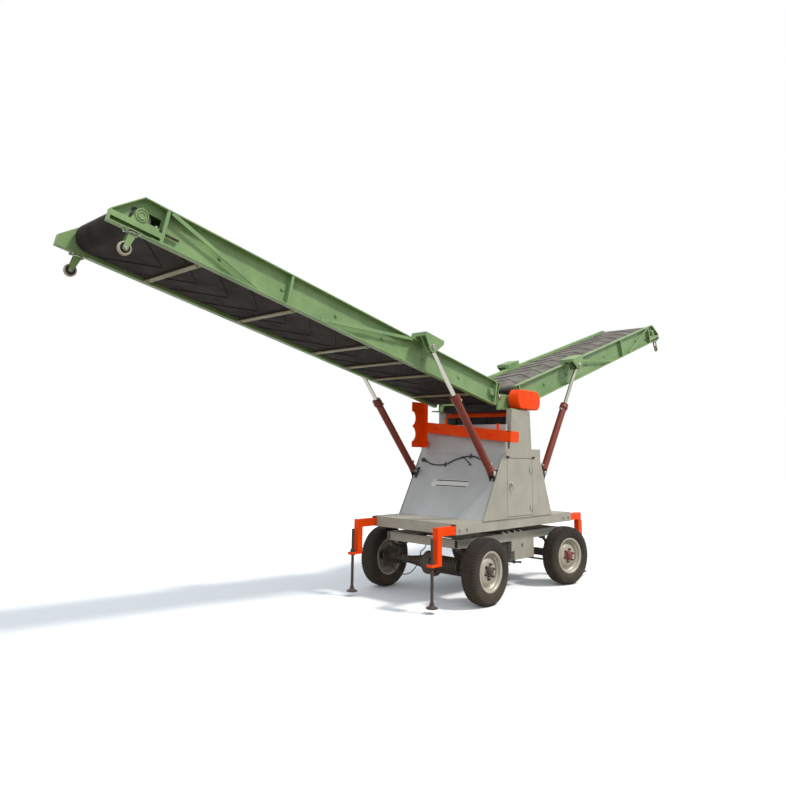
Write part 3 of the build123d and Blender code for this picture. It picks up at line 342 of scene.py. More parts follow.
def hex_head(across: float, height: float, washer: float = 1.35) -> Surface:
    """Hexagon head on a round washer, standing on z = 0.

    Args:
        across: size across the flats.
        height: height of the head.
        washer: washer's diameter over the head's.

    Returns:
        The closed head.
    """
    head, plate = across / math.sqrt(3.0), across * washer / 2
    low = height * 0.25
    turn = np.arange(12) * np.pi / 6
    even = np.ones(12)
    flat = np.where(np.arange(12) % 2 == 0, 1.0, math.cos(np.pi / 6))
    rows = [(0.0, -SINK, even), (plate, -SINK, even), (plate, low, even), (head, low, flat),
            (head, height * 0.88, flat), (head * 0.86, height, flat), (0.0, height, flat)]
    points = [np.stack([r * np.cos(turn) * shape, r * np.sin(turn) * shape, np.full(12, z)], -1)
              for r, z, shape in rows]
    return Surface(np.vstack(points), grid_faces(len(rows), 12, False, True))


def flipped(rows: Rows) -> list[Pair]:
    """Rows of (radius, height) mirrored to the other side of height zero, in the opposite order."""
    return [(radius, -height) for radius, height in reversed(rows)]


def bolts(across: float, height: float, places: Rows, axis: Sequence[float]) -> Surface:
    """Hexagon heads of one size at places, all facing along an axis."""
    return copies(hex_head(across, height), places, axis)


def turned(profile: Rows, sides: int = 24) -> Surface:
    """Template turned round +Z from rows of (radius, height)."""
    return revolved(profile, ORIGIN, UP, sides)


def pin_head(radius: float, core: float, height: float, lip: float, sides: int = 24) -> Surface:
    """Head of a round pin on z = 0: a flat collar of the lip's height, and a core with a cut edge."""
    return turned([(0.0, -SINK), (radius, -SINK), (radius, lip), (core, lip), (core, height - lip),
                   (core - lip, height), (0.0, height)], sides)


def prism(outline: Rows, low: float, high: float) -> Surface:
    """Flat outline in x and y carried along z.

    Args:
        outline: rows of (x, y).
        low: z of one end.
        high: z of the other end.

    Returns:
        The closed prism.
    """
    outline = np.asarray(outline, float)
    count = len(outline)
    points = np.vstack([np.column_stack([outline, np.full(count, z)]) for z in (low, high)])
    faces = grid_faces(2, count, False, True)
    return Surface(points, faces + [list(range(count))[::-1], list(range(count, 2 * count))])


def ridged_bar(start: Sequence[float], end: Sequence[float], radius: float, pitch: float) -> Surface:
    """Threaded bar as rings: the radius swings between full and 0.84 of it once per pitch.

    Args:
        start: middle of one end.
        end: middle of the other end.
        radius: outer radius.
        pitch: distance between crests.

    Returns:
        The closed bar.
    """
    way = np.asarray(end, float) - np.asarray(start, float)
    length = float(np.linalg.norm(way))
    rows = np.arange(2 * int(length / pitch) + 1)
    rings = np.column_stack([radius * np.where(rows % 2 == 0, 0.84, 1.0), rows * length / rows[-1]])
    return revolved(np.vstack([[(0.0, 0.0)], rings, [(0.0, length)]]), start, way, 12)


# Places that the frame gives

class Joints:
    """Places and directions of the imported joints."""

    def __init__(self, rows: Sequence[dict[str, Any]]) -> None:
        """Keep the joints by name."""
        self.rows = {row["name"]: row for row in rows}

    def at(self, name: str) -> Array:
        """Point that a hinge turns about."""
        return np.array(self.rows[name]["pos_m"], float)

    def along(self, name: str) -> Array:
        """Unit direction of a joint's axis."""
        return unit(self.rows[name]["axis"])


# Finishes

class Graph:
    """Short way to add and wire shader nodes in one tree."""

    def __init__(self, tree: bpy.types.NodeTree) -> None:
        """Keep the tree that nodes go into."""
        self.tree = tree

    def add(self, kind: str, **values: Any) -> bpy.types.Node:
        """Add a node; settings are set on it, and inputs are named in_NAME with spaces as underscores.

        Args:
            kind: node type without its ShaderNode prefix.
            values: settings, and inputs as values or sockets.

        Returns:
            The new node.
        """
        node = self.tree.nodes.new("ShaderNode" + kind)
        for name, value in values.items():
            if not name.startswith("in_"):
                setattr(node, name, value)
        for name, value in values.items():
            if name.startswith("in_"):
                key = name[3:].replace("_", " ")
                self.feed(node.inputs[int(key) if key.isdigit() else key], value)
        return node

    def feed(self, socket: bpy.types.NodeSocket, value: Any) -> None:
        """Wire a socket to another one, or set its value."""
        if isinstance(value, bpy.types.NodeSocket):
            self.tree.links.new(value, socket)
        else:
            socket.default_value = value

    def calc(self, operation: str, *terms: Any, clamp: bool = False) -> bpy.types.NodeSocket:
        """Result of a Math node on values or sockets."""
        node = self.add("Math", operation=operation, use_clamp=clamp)
        for socket, term in zip(node.inputs, terms):
            self.feed(socket, term)
        return node.outputs[0]

    def spread(self, value: Any, low: float, high: float, to: Pair = (0.0, 1.0)) -> bpy.types.NodeSocket:
        """Map a value from low..high to another range, held at its ends."""
        node = self.add("MapRange", in_Value=value, in_From_Min=low, in_From_Max=high, in_To_Min=to[0],
                        in_To_Max=to[1])
        return node.outputs[0]

    def blend(self, factor: Any, first: Any, second: Any, mode: str = "MIX") -> bpy.types.NodeSocket:
        """Mix two colours by a factor."""
        node = self.add("Mix", data_type="RGBA", blend_type=mode)
        for socket, value in ((node.inputs[0], factor), (node.inputs[6], first), (node.inputs[7], second)):
            self.feed(socket, value)
        return node.outputs[2]


def rgba(colour: Rgb, shade: float = 1.0) -> Rgba:
    """Display colour (0 to 255) as linear light, times a shade.

    Args:
        colour: red, green and blue as seen on a screen.
        shade: factor on the linear values.

    Returns:
        Linear red, green, blue and full alpha.
    """
    value = np.asarray(colour, float) / 255.0
    linear = np.where(value <= 0.04045, value / 12.92, ((value + 0.055) / 1.055) ** 2.4)
    return (*[float(v) for v in linear * shade], 1.0)


class Effects:
    """Node groups that several finishes share, each made once."""

    def __init__(self) -> None:
        """Make every group."""
        self.weather = self._weather()
        self.edges = self._edges()
        self.dust_and_lit_tops = self._dust_and_lit_tops()

    @staticmethod
    def _group(name: str, inputs: Sequence[tuple[str, str, Any]], outputs: Sequence[tuple[str, str]]
               ) -> tuple[bpy.types.NodeTree, Graph, bpy.types.Node, bpy.types.Node]:
        """Make an empty group with its sockets.

        Args:
            name: group's name.
            inputs: rows of (name, socket kind, default).
            outputs: rows of (name, socket kind).

        Returns:
            The tree, its graph and its input and output nodes.
        """
        tree = bpy.data.node_groups.new(name, "ShaderNodeTree")
        for label, kind, default in inputs:
            socket = tree.interface.new_socket(label, in_out="INPUT", socket_type="NodeSocket" + kind)
            if default is not None:
                socket.default_value = default
        for label, kind in outputs:
            tree.interface.new_socket(label, in_out="OUTPUT", socket_type="NodeSocket" + kind)
        return tree, Graph(tree), tree.nodes.new("NodeGroupInput"), tree.nodes.new("NodeGroupOutput")

    def _weather(self) -> bpy.types.NodeTree:
        """Patches, rain streaks and fine grain of weathered paint over object space."""
        tree, g, enter, leave = self._group(
            "weather", [("Patch Scale", "Float", 3.0), ("Grain Scale", "Float", 400.0)],
            [("Patches", "Float"), ("Streaks", "Float"), ("Grain", "Float")])
        spot = g.add("TexCoord").outputs["Object"]
        patch = g.add("TexNoise", in_Vector=spot, in_Scale=enter.outputs["Patch Scale"], in_Detail=6.0,
                      in_Roughness=0.62)
        stretch = g.add("Mapping", in_Vector=spot, in_Scale=(14.0, 14.0, 1.1))
        streak = g.add("TexNoise", in_Vector=stretch.outputs[0], in_Scale=1.6, in_Detail=5.0,
                       in_Roughness=0.6)
        grain = g.add("TexNoise", in_Vector=spot, in_Scale=enter.outputs["Grain Scale"], in_Detail=2.0)
        g.feed(leave.inputs["Patches"], g.spread(patch.outputs[0], 0.35, 0.68))
        g.feed(leave.inputs["Streaks"], g.spread(streak.outputs[0], 0.50, 0.78))
        g.feed(leave.inputs["Grain"], grain.outputs[0])
        return tree

    def _edges(self) -> bpy.types.NodeTree:
        """Rounded normal near sharp edges, and a broken mask of paint worn off them."""
        tree, g, enter, leave = self._group(
            "worn_edges", [("Width", "Float", 0.004), ("Break Scale", "Float", 22.0)],
            [("Mask", "Float"), ("Normal", "Vector")])
        bevel = g.add("Bevel", samples=4, in_Radius=enter.outputs["Width"])
        flat = g.add("NewGeometry").outputs["Normal"]
        turn = g.add("VectorMath", operation="DOT_PRODUCT", in_0=bevel.outputs[0], in_1=flat)
        spot = g.add("TexCoord").outputs["Object"]
        noise = g.add("TexNoise", in_Vector=spot, in_Scale=enter.outputs["Break Scale"], in_Detail=4.0)
        broken = g.spread(noise.outputs[0], 0.46, 0.62)
        edge = g.spread(turn.outputs["Value"], 0.985, 0.90)
        g.feed(leave.inputs["Mask"], g.calc("MULTIPLY", edge, broken, clamp=True))
        g.feed(leave.inputs["Normal"], bevel.outputs[0])
        return tree

    def _dust_and_lit_tops(self) -> bpy.types.NodeTree:
        """Dust that lies on faces turned upwards and is thrown up near the ground; on the belt the upward
        part is also painted sunlight on its top run.
        """
        tree, g, enter, leave = self._group(
            "settled_dust_and_lit_tops", [("Lying", "Float", 0.3), ("Thrown", "Float", 0.3), ("Height", "Float", 0.7)],
            [("Mask", "Float")])
        spot = g.add("TexCoord").outputs["Object"]
        split = g.add("SeparateXYZ", in_Vector=spot)
        up = g.add("SeparateXYZ", in_Vector=g.add("NewGeometry").outputs["Normal"])
        noise = g.add("TexNoise", in_Vector=spot, in_Scale=5.0, in_Detail=7.0, in_Roughness=0.66)
        cloud = g.spread(noise.outputs[0], 0.36, 0.66)
        lying = g.calc("MULTIPLY", g.spread(up.outputs["Z"], 0.35, 0.95), enter.outputs["Lying"])
        low = g.calc("SUBTRACT", 1.0, g.calc("DIVIDE", split.outputs["Z"], enter.outputs["Height"]),
                     clamp=True)
        thrown = g.calc("MULTIPLY", low, enter.outputs["Thrown"])
        total = g.calc("MULTIPLY", g.calc("ADD", lying, thrown), g.spread(cloud, 0.0, 1.0, (0.35, 1.0)),
                       clamp=True)
        g.feed(leave.inputs["Mask"], total)
        return tree


DUST = (150, 132, 106)


@dataclass(frozen=True)
class Finish:
    """One paint, metal or rubber, with its own amounts of weathering."""

    name: str
    colour: Rgb
    shade_colour: Rgb
    worn: Rgb = (96, 84, 74)
    rough: float = 0.45
    metallic: float = 0.0
    patches: float = 0.5
    streaks: float = 0.15
    wear: float = 0.6
    edge: float = 0.004
    lying: float = 0.25
    thrown: float = 0.25
    patch_scale: float = 3.0
    grain_scale: float = 420.0
    bump: float = 0.06
    specular: float = 0.4
    # colour of settled dust; the belt's grey one is partly painted sunlight on its top run
    dust_and_lit_tops: Rgb = DUST

    def material(self, effects: Effects) -> bpy.types.Material:
        """Build the material.

        Args:
            effects: the shared node groups.

        Returns:
            The new material.
        """
        material = bpy.data.materials.new(self.name)
        material.use_nodes = True
        tree = material.node_tree
        g = Graph(tree)
        shader = tree.nodes["Principled BSDF"]
        weather = g.add("Group", node_tree=effects.weather, in_Patch_Scale=self.patch_scale,
                        in_Grain_Scale=self.grain_scale)
        edges = g.add("Group", node_tree=effects.edges, in_Width=self.edge)
        dust_and_lit_tops = g.add("Group", node_tree=effects.dust_and_lit_tops, in_Lying=self.lying, in_Thrown=self.thrown)
        tone = g.calc("MULTIPLY", weather.outputs["Patches"], self.patches)
        colour = g.blend(tone, rgba(self.colour), rgba(self.shade_colour))
        run = g.calc("MULTIPLY", weather.outputs["Streaks"], self.streaks)
        colour = g.blend(run, colour, rgba(self.worn, 0.8))
        bare = g.calc("MULTIPLY", edges.outputs["Mask"], self.wear)
        colour = g.blend(bare, colour, rgba(self.worn))
        colour = g.blend(dust_and_lit_tops.outputs["Mask"], colour, rgba(self.dust_and_lit_tops))
        g.feed(shader.inputs["Base Color"], colour)
        spread = g.spread(weather.outputs["Patches"], 0.0, 1.0, (self.rough - 0.06, self.rough + 0.10))
        dull = g.calc("MULTIPLY", dust_and_lit_tops.outputs["Mask"], 0.35)
        g.feed(shader.inputs["Roughness"], g.calc("ADD", spread, dull, clamp=True))
        if self.metallic:
            kept = g.calc("SUBTRACT", 1.0, dust_and_lit_tops.outputs["Mask"], clamp=True)
            g.feed(shader.inputs["Metallic"], g.calc("MULTIPLY", kept, self.metallic))
        shader.inputs["Specular IOR Level"].default_value = self.specular
        bump = g.add("Bump", in_Strength=self.bump, in_Distance=0.002, in_Height=weather.outputs["Grain"],
                     in_Normal=edges.outputs["Normal"])
        g.feed(shader.inputs["Normal"], bump.outputs[0])
        return material


class Coat(Enum):
    """The finishes of this machine."""

    GREEN = Finish("sage_green_paint", (132, 161, 107), (102, 132, 88), worn=(112, 112, 92), rough=0.45,
                   patches=0.75, streaks=0.14, lying=0.08, thrown=0.0, specular=0.3)
    # The wings' green paint turned tan on the cross members: painted warm light bounced up from the ground
    BRACE = Finish("green_paint_tinted_as_ground_bounce", (150, 142, 112), (124, 118, 92), worn=(104, 96, 78), rough=0.5,
                   patches=0.75, streaks=0.14, lying=0.08, thrown=0.0, specular=0.3)
    GREY = Finish("warm_grey_paint", (164, 160, 147), (146, 143, 130), worn=(110, 100, 90), rough=0.45,
                  patches=0.7, streaks=0.10, lying=0.18, thrown=0.25)
    # The tower's grey paint made lighter and more neutral for the rear wall: painted sky light on a face
    # turned away from the sun
    WALL = Finish("grey_paint_lightened_as_painted_sky_light", (178, 178, 176), (160, 160, 159), worn=(110, 104, 98), rough=0.42,
                  patches=0.6, streaks=0.08, lying=0.06, thrown=0.1)
    ORANGE = Finish("signal_orange_paint", (248, 76, 2), (228, 56, 2), worn=(150, 60, 24), rough=0.5,
                    patches=0.5, streaks=0.05, wear=0.3, lying=0.02, thrown=0.06, specular=0.15)
    OXIDE = Finish("red_oxide_primer", (128, 52, 34), (98, 38, 26), worn=(70, 40, 32), rough=0.4, patches=0.8,
                   streaks=0.2, lying=0.06, thrown=0.0, specular=0.3)
    RIM = Finish("silver_rim_paint", (178, 173, 160), (156, 149, 134), worn=(120, 104, 86), rough=0.36,
                 metallic=0.3, patches=0.6, lying=0.1, thrown=0.25)
    BLACK = Finish("black_axle_paint", (34, 33, 32), (48, 44, 40), worn=(80, 66, 54), rough=0.55, patches=0.6,
                   lying=0.3, thrown=0.35)
    RUSTY = Finish("rusty_screw_steel", (50, 44, 40), (68, 50, 40), worn=(112, 104, 96), rough=0.55,
                   metallic=0.4, patches=0.9, lying=0.15, thrown=0.15, patch_scale=14.0, bump=0.2)
    CHROME = Finish("polished_rod", (186, 183, 172), (166, 161, 146), worn=(170, 166, 156), rough=0.16,
                    metallic=1.0, patches=0.4, streaks=0.05, wear=0.0, lying=0.06, thrown=0.0, bump=0.01)
    STEEL = Finish("worn_drum_steel", (132, 130, 126), (104, 100, 94), worn=(160, 158, 152), rough=0.4,
                   metallic=0.8, patches=0.7, lying=0.2, thrown=0.0)
    ZINC = Finish("zinc_fastener", (168, 166, 158), (138, 132, 120), worn=(110, 84, 60), rough=0.35,
                  metallic=0.85, patches=0.7, lying=0.12, thrown=0.2, edge=0.001, patch_scale=40.0)
    # The belt's heavy grey dust on upward faces is part real dust and part painted sunlight on the top run
    BELT = Finish("ribbed_belt_rubber", (40, 34, 30), (31, 26, 23), worn=(76, 70, 64), rough=0.75,
                  patches=0.8, streaks=0.0, wear=0.4, lying=0.75, thrown=0.0, patch_scale=5.0, bump=0.15,
                  specular=0.1, dust_and_lit_tops=(146, 141, 132))
    TYRE = Finish("road_tyre_rubber", (33, 30, 28), (46, 39, 33), worn=(92, 78, 62), rough=0.7,
                  patches=0.7, streaks=0.0, wear=0.5, edge=0.002, lying=0.08, thrown=0.22, patch_scale=9.0,
                  bump=0.15, specular=0.25)
    HOSE = Finish("black_hose_rubber", (30, 30, 30), (44, 42, 40), rough=0.5, patches=0.5, wear=0.0,
                  lying=0.2, thrown=0.1, edge=0.001)
    CASTER = Finish("caster_tread", (172, 162, 142), (146, 136, 116), worn=(100, 92, 80), rough=0.55,
                    patches=0.7, lying=0.1, thrown=0.0, patch_scale=20.0)
    HUB_RED = Finish("dark_red_hub", (122, 34, 34), (96, 30, 30), worn=(90, 66, 56), rough=0.45, patches=0.6,
                     lying=0.1, thrown=0.3)
    UNIT = Finish("cast_unit_paint", (96, 104, 110), (80, 86, 90), rough=0.5)
    PLATE = Finish("blank_name_plate", (204, 204, 200), (188, 188, 184), rough=0.3, metallic=0.4, patches=0.4,
                   streaks=0.1, wear=0.3, lying=0.05, thrown=0.05, edge=0.001)
    # Near-black for dark parts such as the catches, plate strips and caster hubs, and painted shade on the
    # closing panel and spill tray
    DARK = Finish("near_black_and_painted_shade", (26, 25, 24), (32, 30, 28), rough=0.7, patches=0.4, wear=0.0, lying=0.1,
                  thrown=0.1)


class Palette:
    """Materials by finish, each built at its first use."""

    def __init__(self) -> None:
        """Make the shared effects."""
        self.effects = Effects()
        self.made: dict[Coat, bpy.types.Material] = {}

    def get(self, coat: Coat) -> bpy.types.Material:
        """Return the finish's material."""
        if coat not in self.made:
            self.made[coat] = coat.value.material(self.effects)
        return self.made[coat]


class Workshop:
    """Turns surfaces into pieces that ride on the machine's bodies."""

    def __init__(self, nodes: dict[str, bpy.types.Object]) -> None:
        """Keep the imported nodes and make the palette."""
        self.nodes = nodes
        self.palette = Palette()

    def piece(self, name: str, parts: Sequence[Surface], coat: Coat, body: str,
              replaces: Sequence[str] = (), bevel: float = 0.0) -> bpy.types.Object:
        """Make one piece from surfaces.

        Args:
            name: piece's name.
            parts: its surfaces.
            coat: its finish.
            body: body that it rides on.
            replaces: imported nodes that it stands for.
            bevel: width of a bevel on its sharp edges, or zero.

        Returns:
            The new object.
        """
        whole = Surface.joined(parts)
        mesh = bpy.data.meshes.new(name)
        mesh.from_pydata(whole.points.tolist(), [], whole.faces)
        work = bmesh.new()
        work.from_mesh(mesh)
        bmesh.ops.remove_doubles(work, verts=work.verts, dist=MERGE)
        bmesh.ops.dissolve_degenerate(work, edges=work.edges, dist=MERGE)
        bmesh.ops.recalc_face_normals(work, faces=work.faces)
        work.to_mesh(mesh)
        work.free()
        mesh.polygons.foreach_set("use_smooth", np.ones(len(mesh.polygons), bool))
        mesh.set_sharp_from_angle(angle=SHARP_ANGLE)
        mesh.materials.append(self.palette.get(coat))
        thing = bpy.data.objects.new(name, mesh)
        bpy.context.scene.collection.objects.link(thing)
        if bevel:
            rounding = thing.modifiers.new("rounded_edges", "BEVEL")
            rounding.width, rounding.segments, rounding.limit_method = bevel, 2, "ANGLE"
            rounding.harden_normals = True
        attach(thing, body)
        if replaces:
            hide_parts(*replaces)
        LOG.info("%s: %d faces on %s", name, len(mesh.polygons), body)
        return thing

    def dress(self, node: str, coat: Coat) -> None:
        """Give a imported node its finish."""
        thing = self.nodes[node]
        thing.data.materials.clear()
        thing.data.materials.append(self.palette.get(coat))


# Road wheels

@dataclass
class RoadWheel:
    """A road wheel: treaded tyre, dished rim and hub, round its own axle line."""

    end: str
    side: str
    centre: Array
    outward: Array
    hub: Coat
    radius: float = 0.370
    half_width: float = 0.095
    groove_depth: float = 0.009
    # middle and half width of each groove on one half of the tread
    grooves: tuple[Pair, ...] = ((0.0, 0.0035), (0.027, 0.004), (0.052, 0.0035))
    groove_edge: float = 0.0015
    zigzag: float = 0.0035
    shoulder_y: float = 0.060
    shoulder_r: float = 0.338
    tread_start: float = 0.335
    wall_ribs: Pair = (0.318, 0.252)
    rib_half: float = 0.0018
    rib_high: float = 0.0015
    notches: int = 60
    notch_half: float = 0.20
    notch_edge: float = 0.06
    notch_depth: float = 0.75
    notch_in: float = 0.006
    turns: int = 480
    studs: int = 6
    stud_circle: float = 0.080
    stud_face: float = 0.050
    stud_turn: float = 0.3

    def section(self, steps: int) -> Array:
        """Tyre's section as (radius, width) from bead to bead over the tread."""
        half = [(0.2053, 0.064), (0.2200, 0.070), (0.2420, 0.083), (0.2700, 0.0925),
                (0.2980, self.half_width), (0.3260, 0.0925), (0.3440, 0.0870), (0.3560, 0.0800),
                (0.3625, 0.0700), (0.3668, 0.0480), (0.3690, 0.0240), (self.radius, 0.0)]
        return smooth_line(half + flipped(half[:-1]), steps)

    def tyre(self) -> Surface:
        """Tyre grid: radius = section - groove depth where a zigzag groove or a shoulder notch lies."""
        section = self.section(8)
        turn = np.linspace(0.0, 2 * np.pi, self.turns, endpoint=False)
        radius, width = section[:, 0][:, None], section[:, 1][:, None]
        tooth = ((turn * self.notches / 2 / np.pi) % 1.0)[None]
        wave = self.zigzag * (2 * np.abs(tooth * 2 - 1) - 1)
        depth = np.zeros((len(section), self.turns))
        for middle, half in self.grooves:
            for side in SIDES:
                inside = half - np.abs(width - side * middle - wave)
                depth = np.maximum(depth, np.clip(inside / self.groove_edge, 0.0, 1.0))
        notch = np.clip((self.notch_half - np.abs(tooth - 0.5)) / self.notch_edge, 0.0, 1.0)
        outer = np.clip((np.abs(width) - self.shoulder_y) / 0.003, 0.0, 1.0)
        notch = notch * outer * np.clip((radius - self.shoulder_r) / 0.006, 0.0, 1.0)
        depth = np.maximum(depth, notch * self.notch_depth)
        rib = sum(np.exp(-((radius - at) / self.rib_half) ** 2) for at in self.wall_ribs)
        out = radius - self.groove_depth * depth * (radius > self.tread_start)
        over = width + np.sign(width) * (self.rib_high * rib - self.notch_in * notch)
        across, up = square_axes(self.outward)
        ring = np.cos(turn)[:, None] * across + np.sin(turn)[:, None] * up
        points = self.centre + over[..., None] * unit(self.outward) + out[..., None] * ring[None]
        return Surface(points.reshape(-1, 3), grid_faces(len(section), self.turns, True, True))

    def rim(self) -> Surface:
        """Rim and disc as one turned section: lip, inside, dished disc, its back, other lip and well."""
        lip = [(0.2155, 0.0675), (0.2240, 0.0705), (0.2268, 0.0745), (0.2252, 0.0785), (0.2205, 0.0795),
               (0.2130, 0.0775)]
        inside = [(0.2060, 0.0740), (0.2000, 0.0700), (0.1965, 0.0620), (0.1950, 0.0480), (0.1880, 0.0360),
                  (0.1800, 0.0300), (0.1795, 0.0180)]
        dish = [(0.1760, 0.0130), (0.1680, 0.0140), (0.1560, 0.0230), (0.1380, 0.0370), (0.1200, 0.0470),
                (0.1060, 0.0500), (0.0600, 0.0500), (0.0560, 0.0480)]
        behind = [(0.0560, 0.0400), (0.1050, 0.0400), (0.1190, 0.0370), (0.1370, 0.0270), (0.1550, 0.0130),
                  (0.1680, 0.0030), (0.1800, 0.0000), (0.1900, -0.0200), (0.1950, -0.0600), (0.2000, -0.0700)]
        well = [(0.2045, -0.0640), (0.2030, -0.0400), (0.1960, -0.0250)]
        face = [(0.200, 0.066), *lip, *inside, *dish, *behind, *flipped(lip), *well, *flipped(well)]
        return revolved(face, self.centre, self.outward, 96, True)

    def hub_parts(self) -> list[Surface]:
        """Hub with a stepped nose, its back drum face and a ring of studs with nuts."""
        nose = [(0.0, 0.092), (0.030, 0.092), (0.034, 0.089), (0.036, 0.082), (0.048, 0.080),
                (0.052, 0.076), (0.054, 0.060), (0.0585, 0.056), (0.0585, -0.0540), (0.0, -0.0540)]
        parts = [revolved(nose, self.centre, self.outward, 48)]
        across, up = square_axes(self.outward)
        out = unit(self.outward)
        turn = np.arange(self.studs) * 2 * np.pi / self.studs + self.stud_turn
        ring = np.cos(turn)[:, None] * across + np.sin(turn)[:, None] * up
        places = self.centre + self.stud_face * out + self.stud_circle * ring
        stud = turned([(0.0, 0.0), (0.007, 0.0), (0.007, 0.034), (0.005, 0.036), (0.0, 0.036)], 12)
        return [*parts, bolts(0.026, 0.020, places, out), copies(stud, places, out)]

    def build(self, shop: Workshop) -> None:
        """Make the wheel's pieces on its body."""
        body = f"wheel_{self.end}_{self.side}"
        tag = f"{self.end}_{self.side}"
        shop.piece(f"road_tyre_{tag}", [self.tyre()], Coat.TYRE, body, [f"tyre_{tag}"])
        shop.piece(f"dished_rim_{tag}", [self.rim()], Coat.RIM, body, [f"rim_{tag}"])
        shop.piece(f"wheel_hub_{tag}", self.hub_parts(), self.hub, body)


# Belt wings

@dataclass
class Wing:
    """Fittings of a belt wing in its own frame: s outwards from the pin, y across, n square to the belt."""

    end: str
    way: float
    pin: Array
    normal: Array
    web: float = 0.446
    # inner and outer edge across
    flange: Pair = (0.440, 0.500)
    # the sloping inner end's foot and head as (s, n)
    end_foot: Pair = (0.100, -0.1345)
    end_head: Pair = (0.055, 0.167)
    end_thick: float = 0.008
    # start, stop and step of the row of bolts
    bolt_s: tuple[float, float, float] = (0.870, 4.600, 0.696)
    bolt_n: float = 0.003
    # inner and outer drum
    drum_s: Pair = (0.190, 5.110)
    drum_n: float = 0.015
    # the two bolts of the outer drum's bearing block
    block_s: Pair = (4.968, 5.163)
    block_y: float = 0.473
    block_face: float = 0.490
    block_top: float = -0.021
    block_r: float = 0.058
    screw_s: Pair = (4.760, 4.947)
    screw_n: float = -0.035
    post_s: float = 4.910
    cross_s: tuple[float, ...] = (0.610, 1.390, 1.879, 2.419, 3.457, 4.514)
    cross_y: float = 0.405
    # pin of the cylinder bracket as (s, n), and the outer faces of its cheeks
    rod_pin: Pair = (1.643, 0.108)
    cheeks_y: Pair = (0.566, 0.646)
    lip_s: Pair = (0.110, 5.000)
    lip_tall: float = 0.013
    flange_thick: float = 0.012
    flange_bolts: float = 0.037
    thread_r: float = 0.011
    thread_pitch: float = 0.005
    post_half: float = 0.004

    def place(self, part: Surface) -> Surface:
        """Move a surface into the machine's frame.

        Formula: pin + s * (across x normal) + y * across + n * normal.

        Args:
            part: surface in the wing's frame.

        Returns:
            The surface in the machine's frame.
        """
        across = np.array(sideways(self.way))
        axes = np.stack([np.cross(across, self.normal), across, self.normal])
        return part.moved(axes, (self.pin[0], 0.0, self.pin[2]))

    def web_bolts(self) -> list[Surface]:
        """Painted bolt heads in a row on both webs, and under the ends of the cross bars."""
        row = np.arange(*self.bolt_s)
        parts = []
        for side in SIDES:
            beside = [(s, side * self.web, self.bolt_n) for s in row]
            parts.append(bolts(0.030, 0.016, beside, sideways(side)))
            under = [(s, side * self.cross_y, self.end_foot[1]) for s in self.cross_s]
            parts.append(bolts(0.024, 0.013, under, DOWN))
        return parts

    def end_flanges(self) -> list[Surface]:
        """Sloping end plates that close the girders' inner ends."""
        shift = self.end_thick / 2
        middle, width = sum(self.flange) / 2, self.flange[1] - self.flange[0]
        return [bar((self.end_foot[0] + shift, side * middle, self.end_foot[1]),
                    (self.end_head[0] + shift, side * middle, self.end_head[1]),
                    self.end_thick, width, 0.002, LEFT) for side in SIDES]

    def flange_lips(self) -> list[Surface]:
        """Thick edges of the girders' upper and lower flanges."""
        start, end = self.lip_s
        tall = self.lip_tall / 2
        levels = (self.end_foot[1] + tall, self.end_head[1] - tall)
        return [bar((start, side * self.flange[1], n), (end, side * self.flange[1], n), 0.004,
                    self.lip_tall, 0.0015) for side in SIDES for n in levels]

    def bearings(self) -> list[Surface]:
        """Flange bearings of the inner drum, and caps on the bearing blocks of the outer one."""
        plate = prism(rounded(0.104, 0.104, 0.030), -SINK, self.flange_thick)
        housing = turned([(0.0, 0.0), (0.052, 0.0), (0.049, 0.014), (0.049, 0.032), (0.045, 0.041),
                          (0.030, 0.043), (0.028, 0.039), (0.0, 0.039)], 32)
        cap = turned([(0.0, -0.001), (0.056, -0.001), (0.056, 0.005), (0.053, 0.009), (0.046, 0.009),
                      (0.044, 0.002), (0.036, 0.002), (0.034, 0.009), (0.024, 0.009), (0.022, 0.003),
                      (0.0, 0.003)], 32)
        parts = []
        for side in SIDES:
            inner = (self.drum_s[0], side * self.web, self.drum_n)
            outer = (self.drum_s[1], side * self.block_face, self.drum_n)
            parts += [copies(plate, inner, sideways(side)), copies(housing, inner, sideways(side)),
                      copies(cap, outer, sideways(side))]
        return parts

    def bearing_bolts(self) -> list[Surface]:
        """Bolts of the bearings, a grease nipple on each block, and pins' heads at the cylinder brackets."""
        corner, face = self.flange_bolts, self.web + self.flange_thick
        nipple = turned([(0.0, -0.002), (0.007, -0.002), (0.007, 0.006), (0.004, 0.009), (0.005, 0.013),
                         (0.0, 0.015)], 10)
        head = pin_head(0.036, 0.029, 0.018, 0.004)
        parts = []
        for side in SIDES:
            spots = [(self.drum_s[0] + a * corner, side * face, self.drum_n + b * corner)
                     for a in SIDES for b in SIDES]
            parts.append(bolts(0.018, 0.010, spots, sideways(side)))
            ends = [(s, side * self.block_y, self.block_top) for s in self.block_s]
            parts.append(bolts(0.022, 0.018, ends, UP))
            top = (self.drum_s[1], side * self.block_y, self.drum_n + self.block_r)
            parts.append(copies(nipple, top, UP))
            for y, out in zip(self.cheeks_y, (-side, side)):
                parts.append(copies(head, (self.rod_pin[0], side * y, self.rod_pin[1]), sideways(out)))
        return parts

    def take_up_screws(self) -> list[Surface]:
        """Threaded rods that set the outer drum, each with a nut on both sides of the end post."""
        parts = []
        for side in SIDES:
            ends = [(s, side * self.block_y, self.screw_n) for s in self.screw_s]
            parts.append(ridged_bar(*ends, self.thread_r, self.thread_pitch))
            for way in SIDES:
                spot = (self.post_s + way * self.post_half, side * self.block_y, self.screw_n)
                parts.append(bolts(0.030, 0.020, spot, (way, 0.0, 0.0)))
        return parts

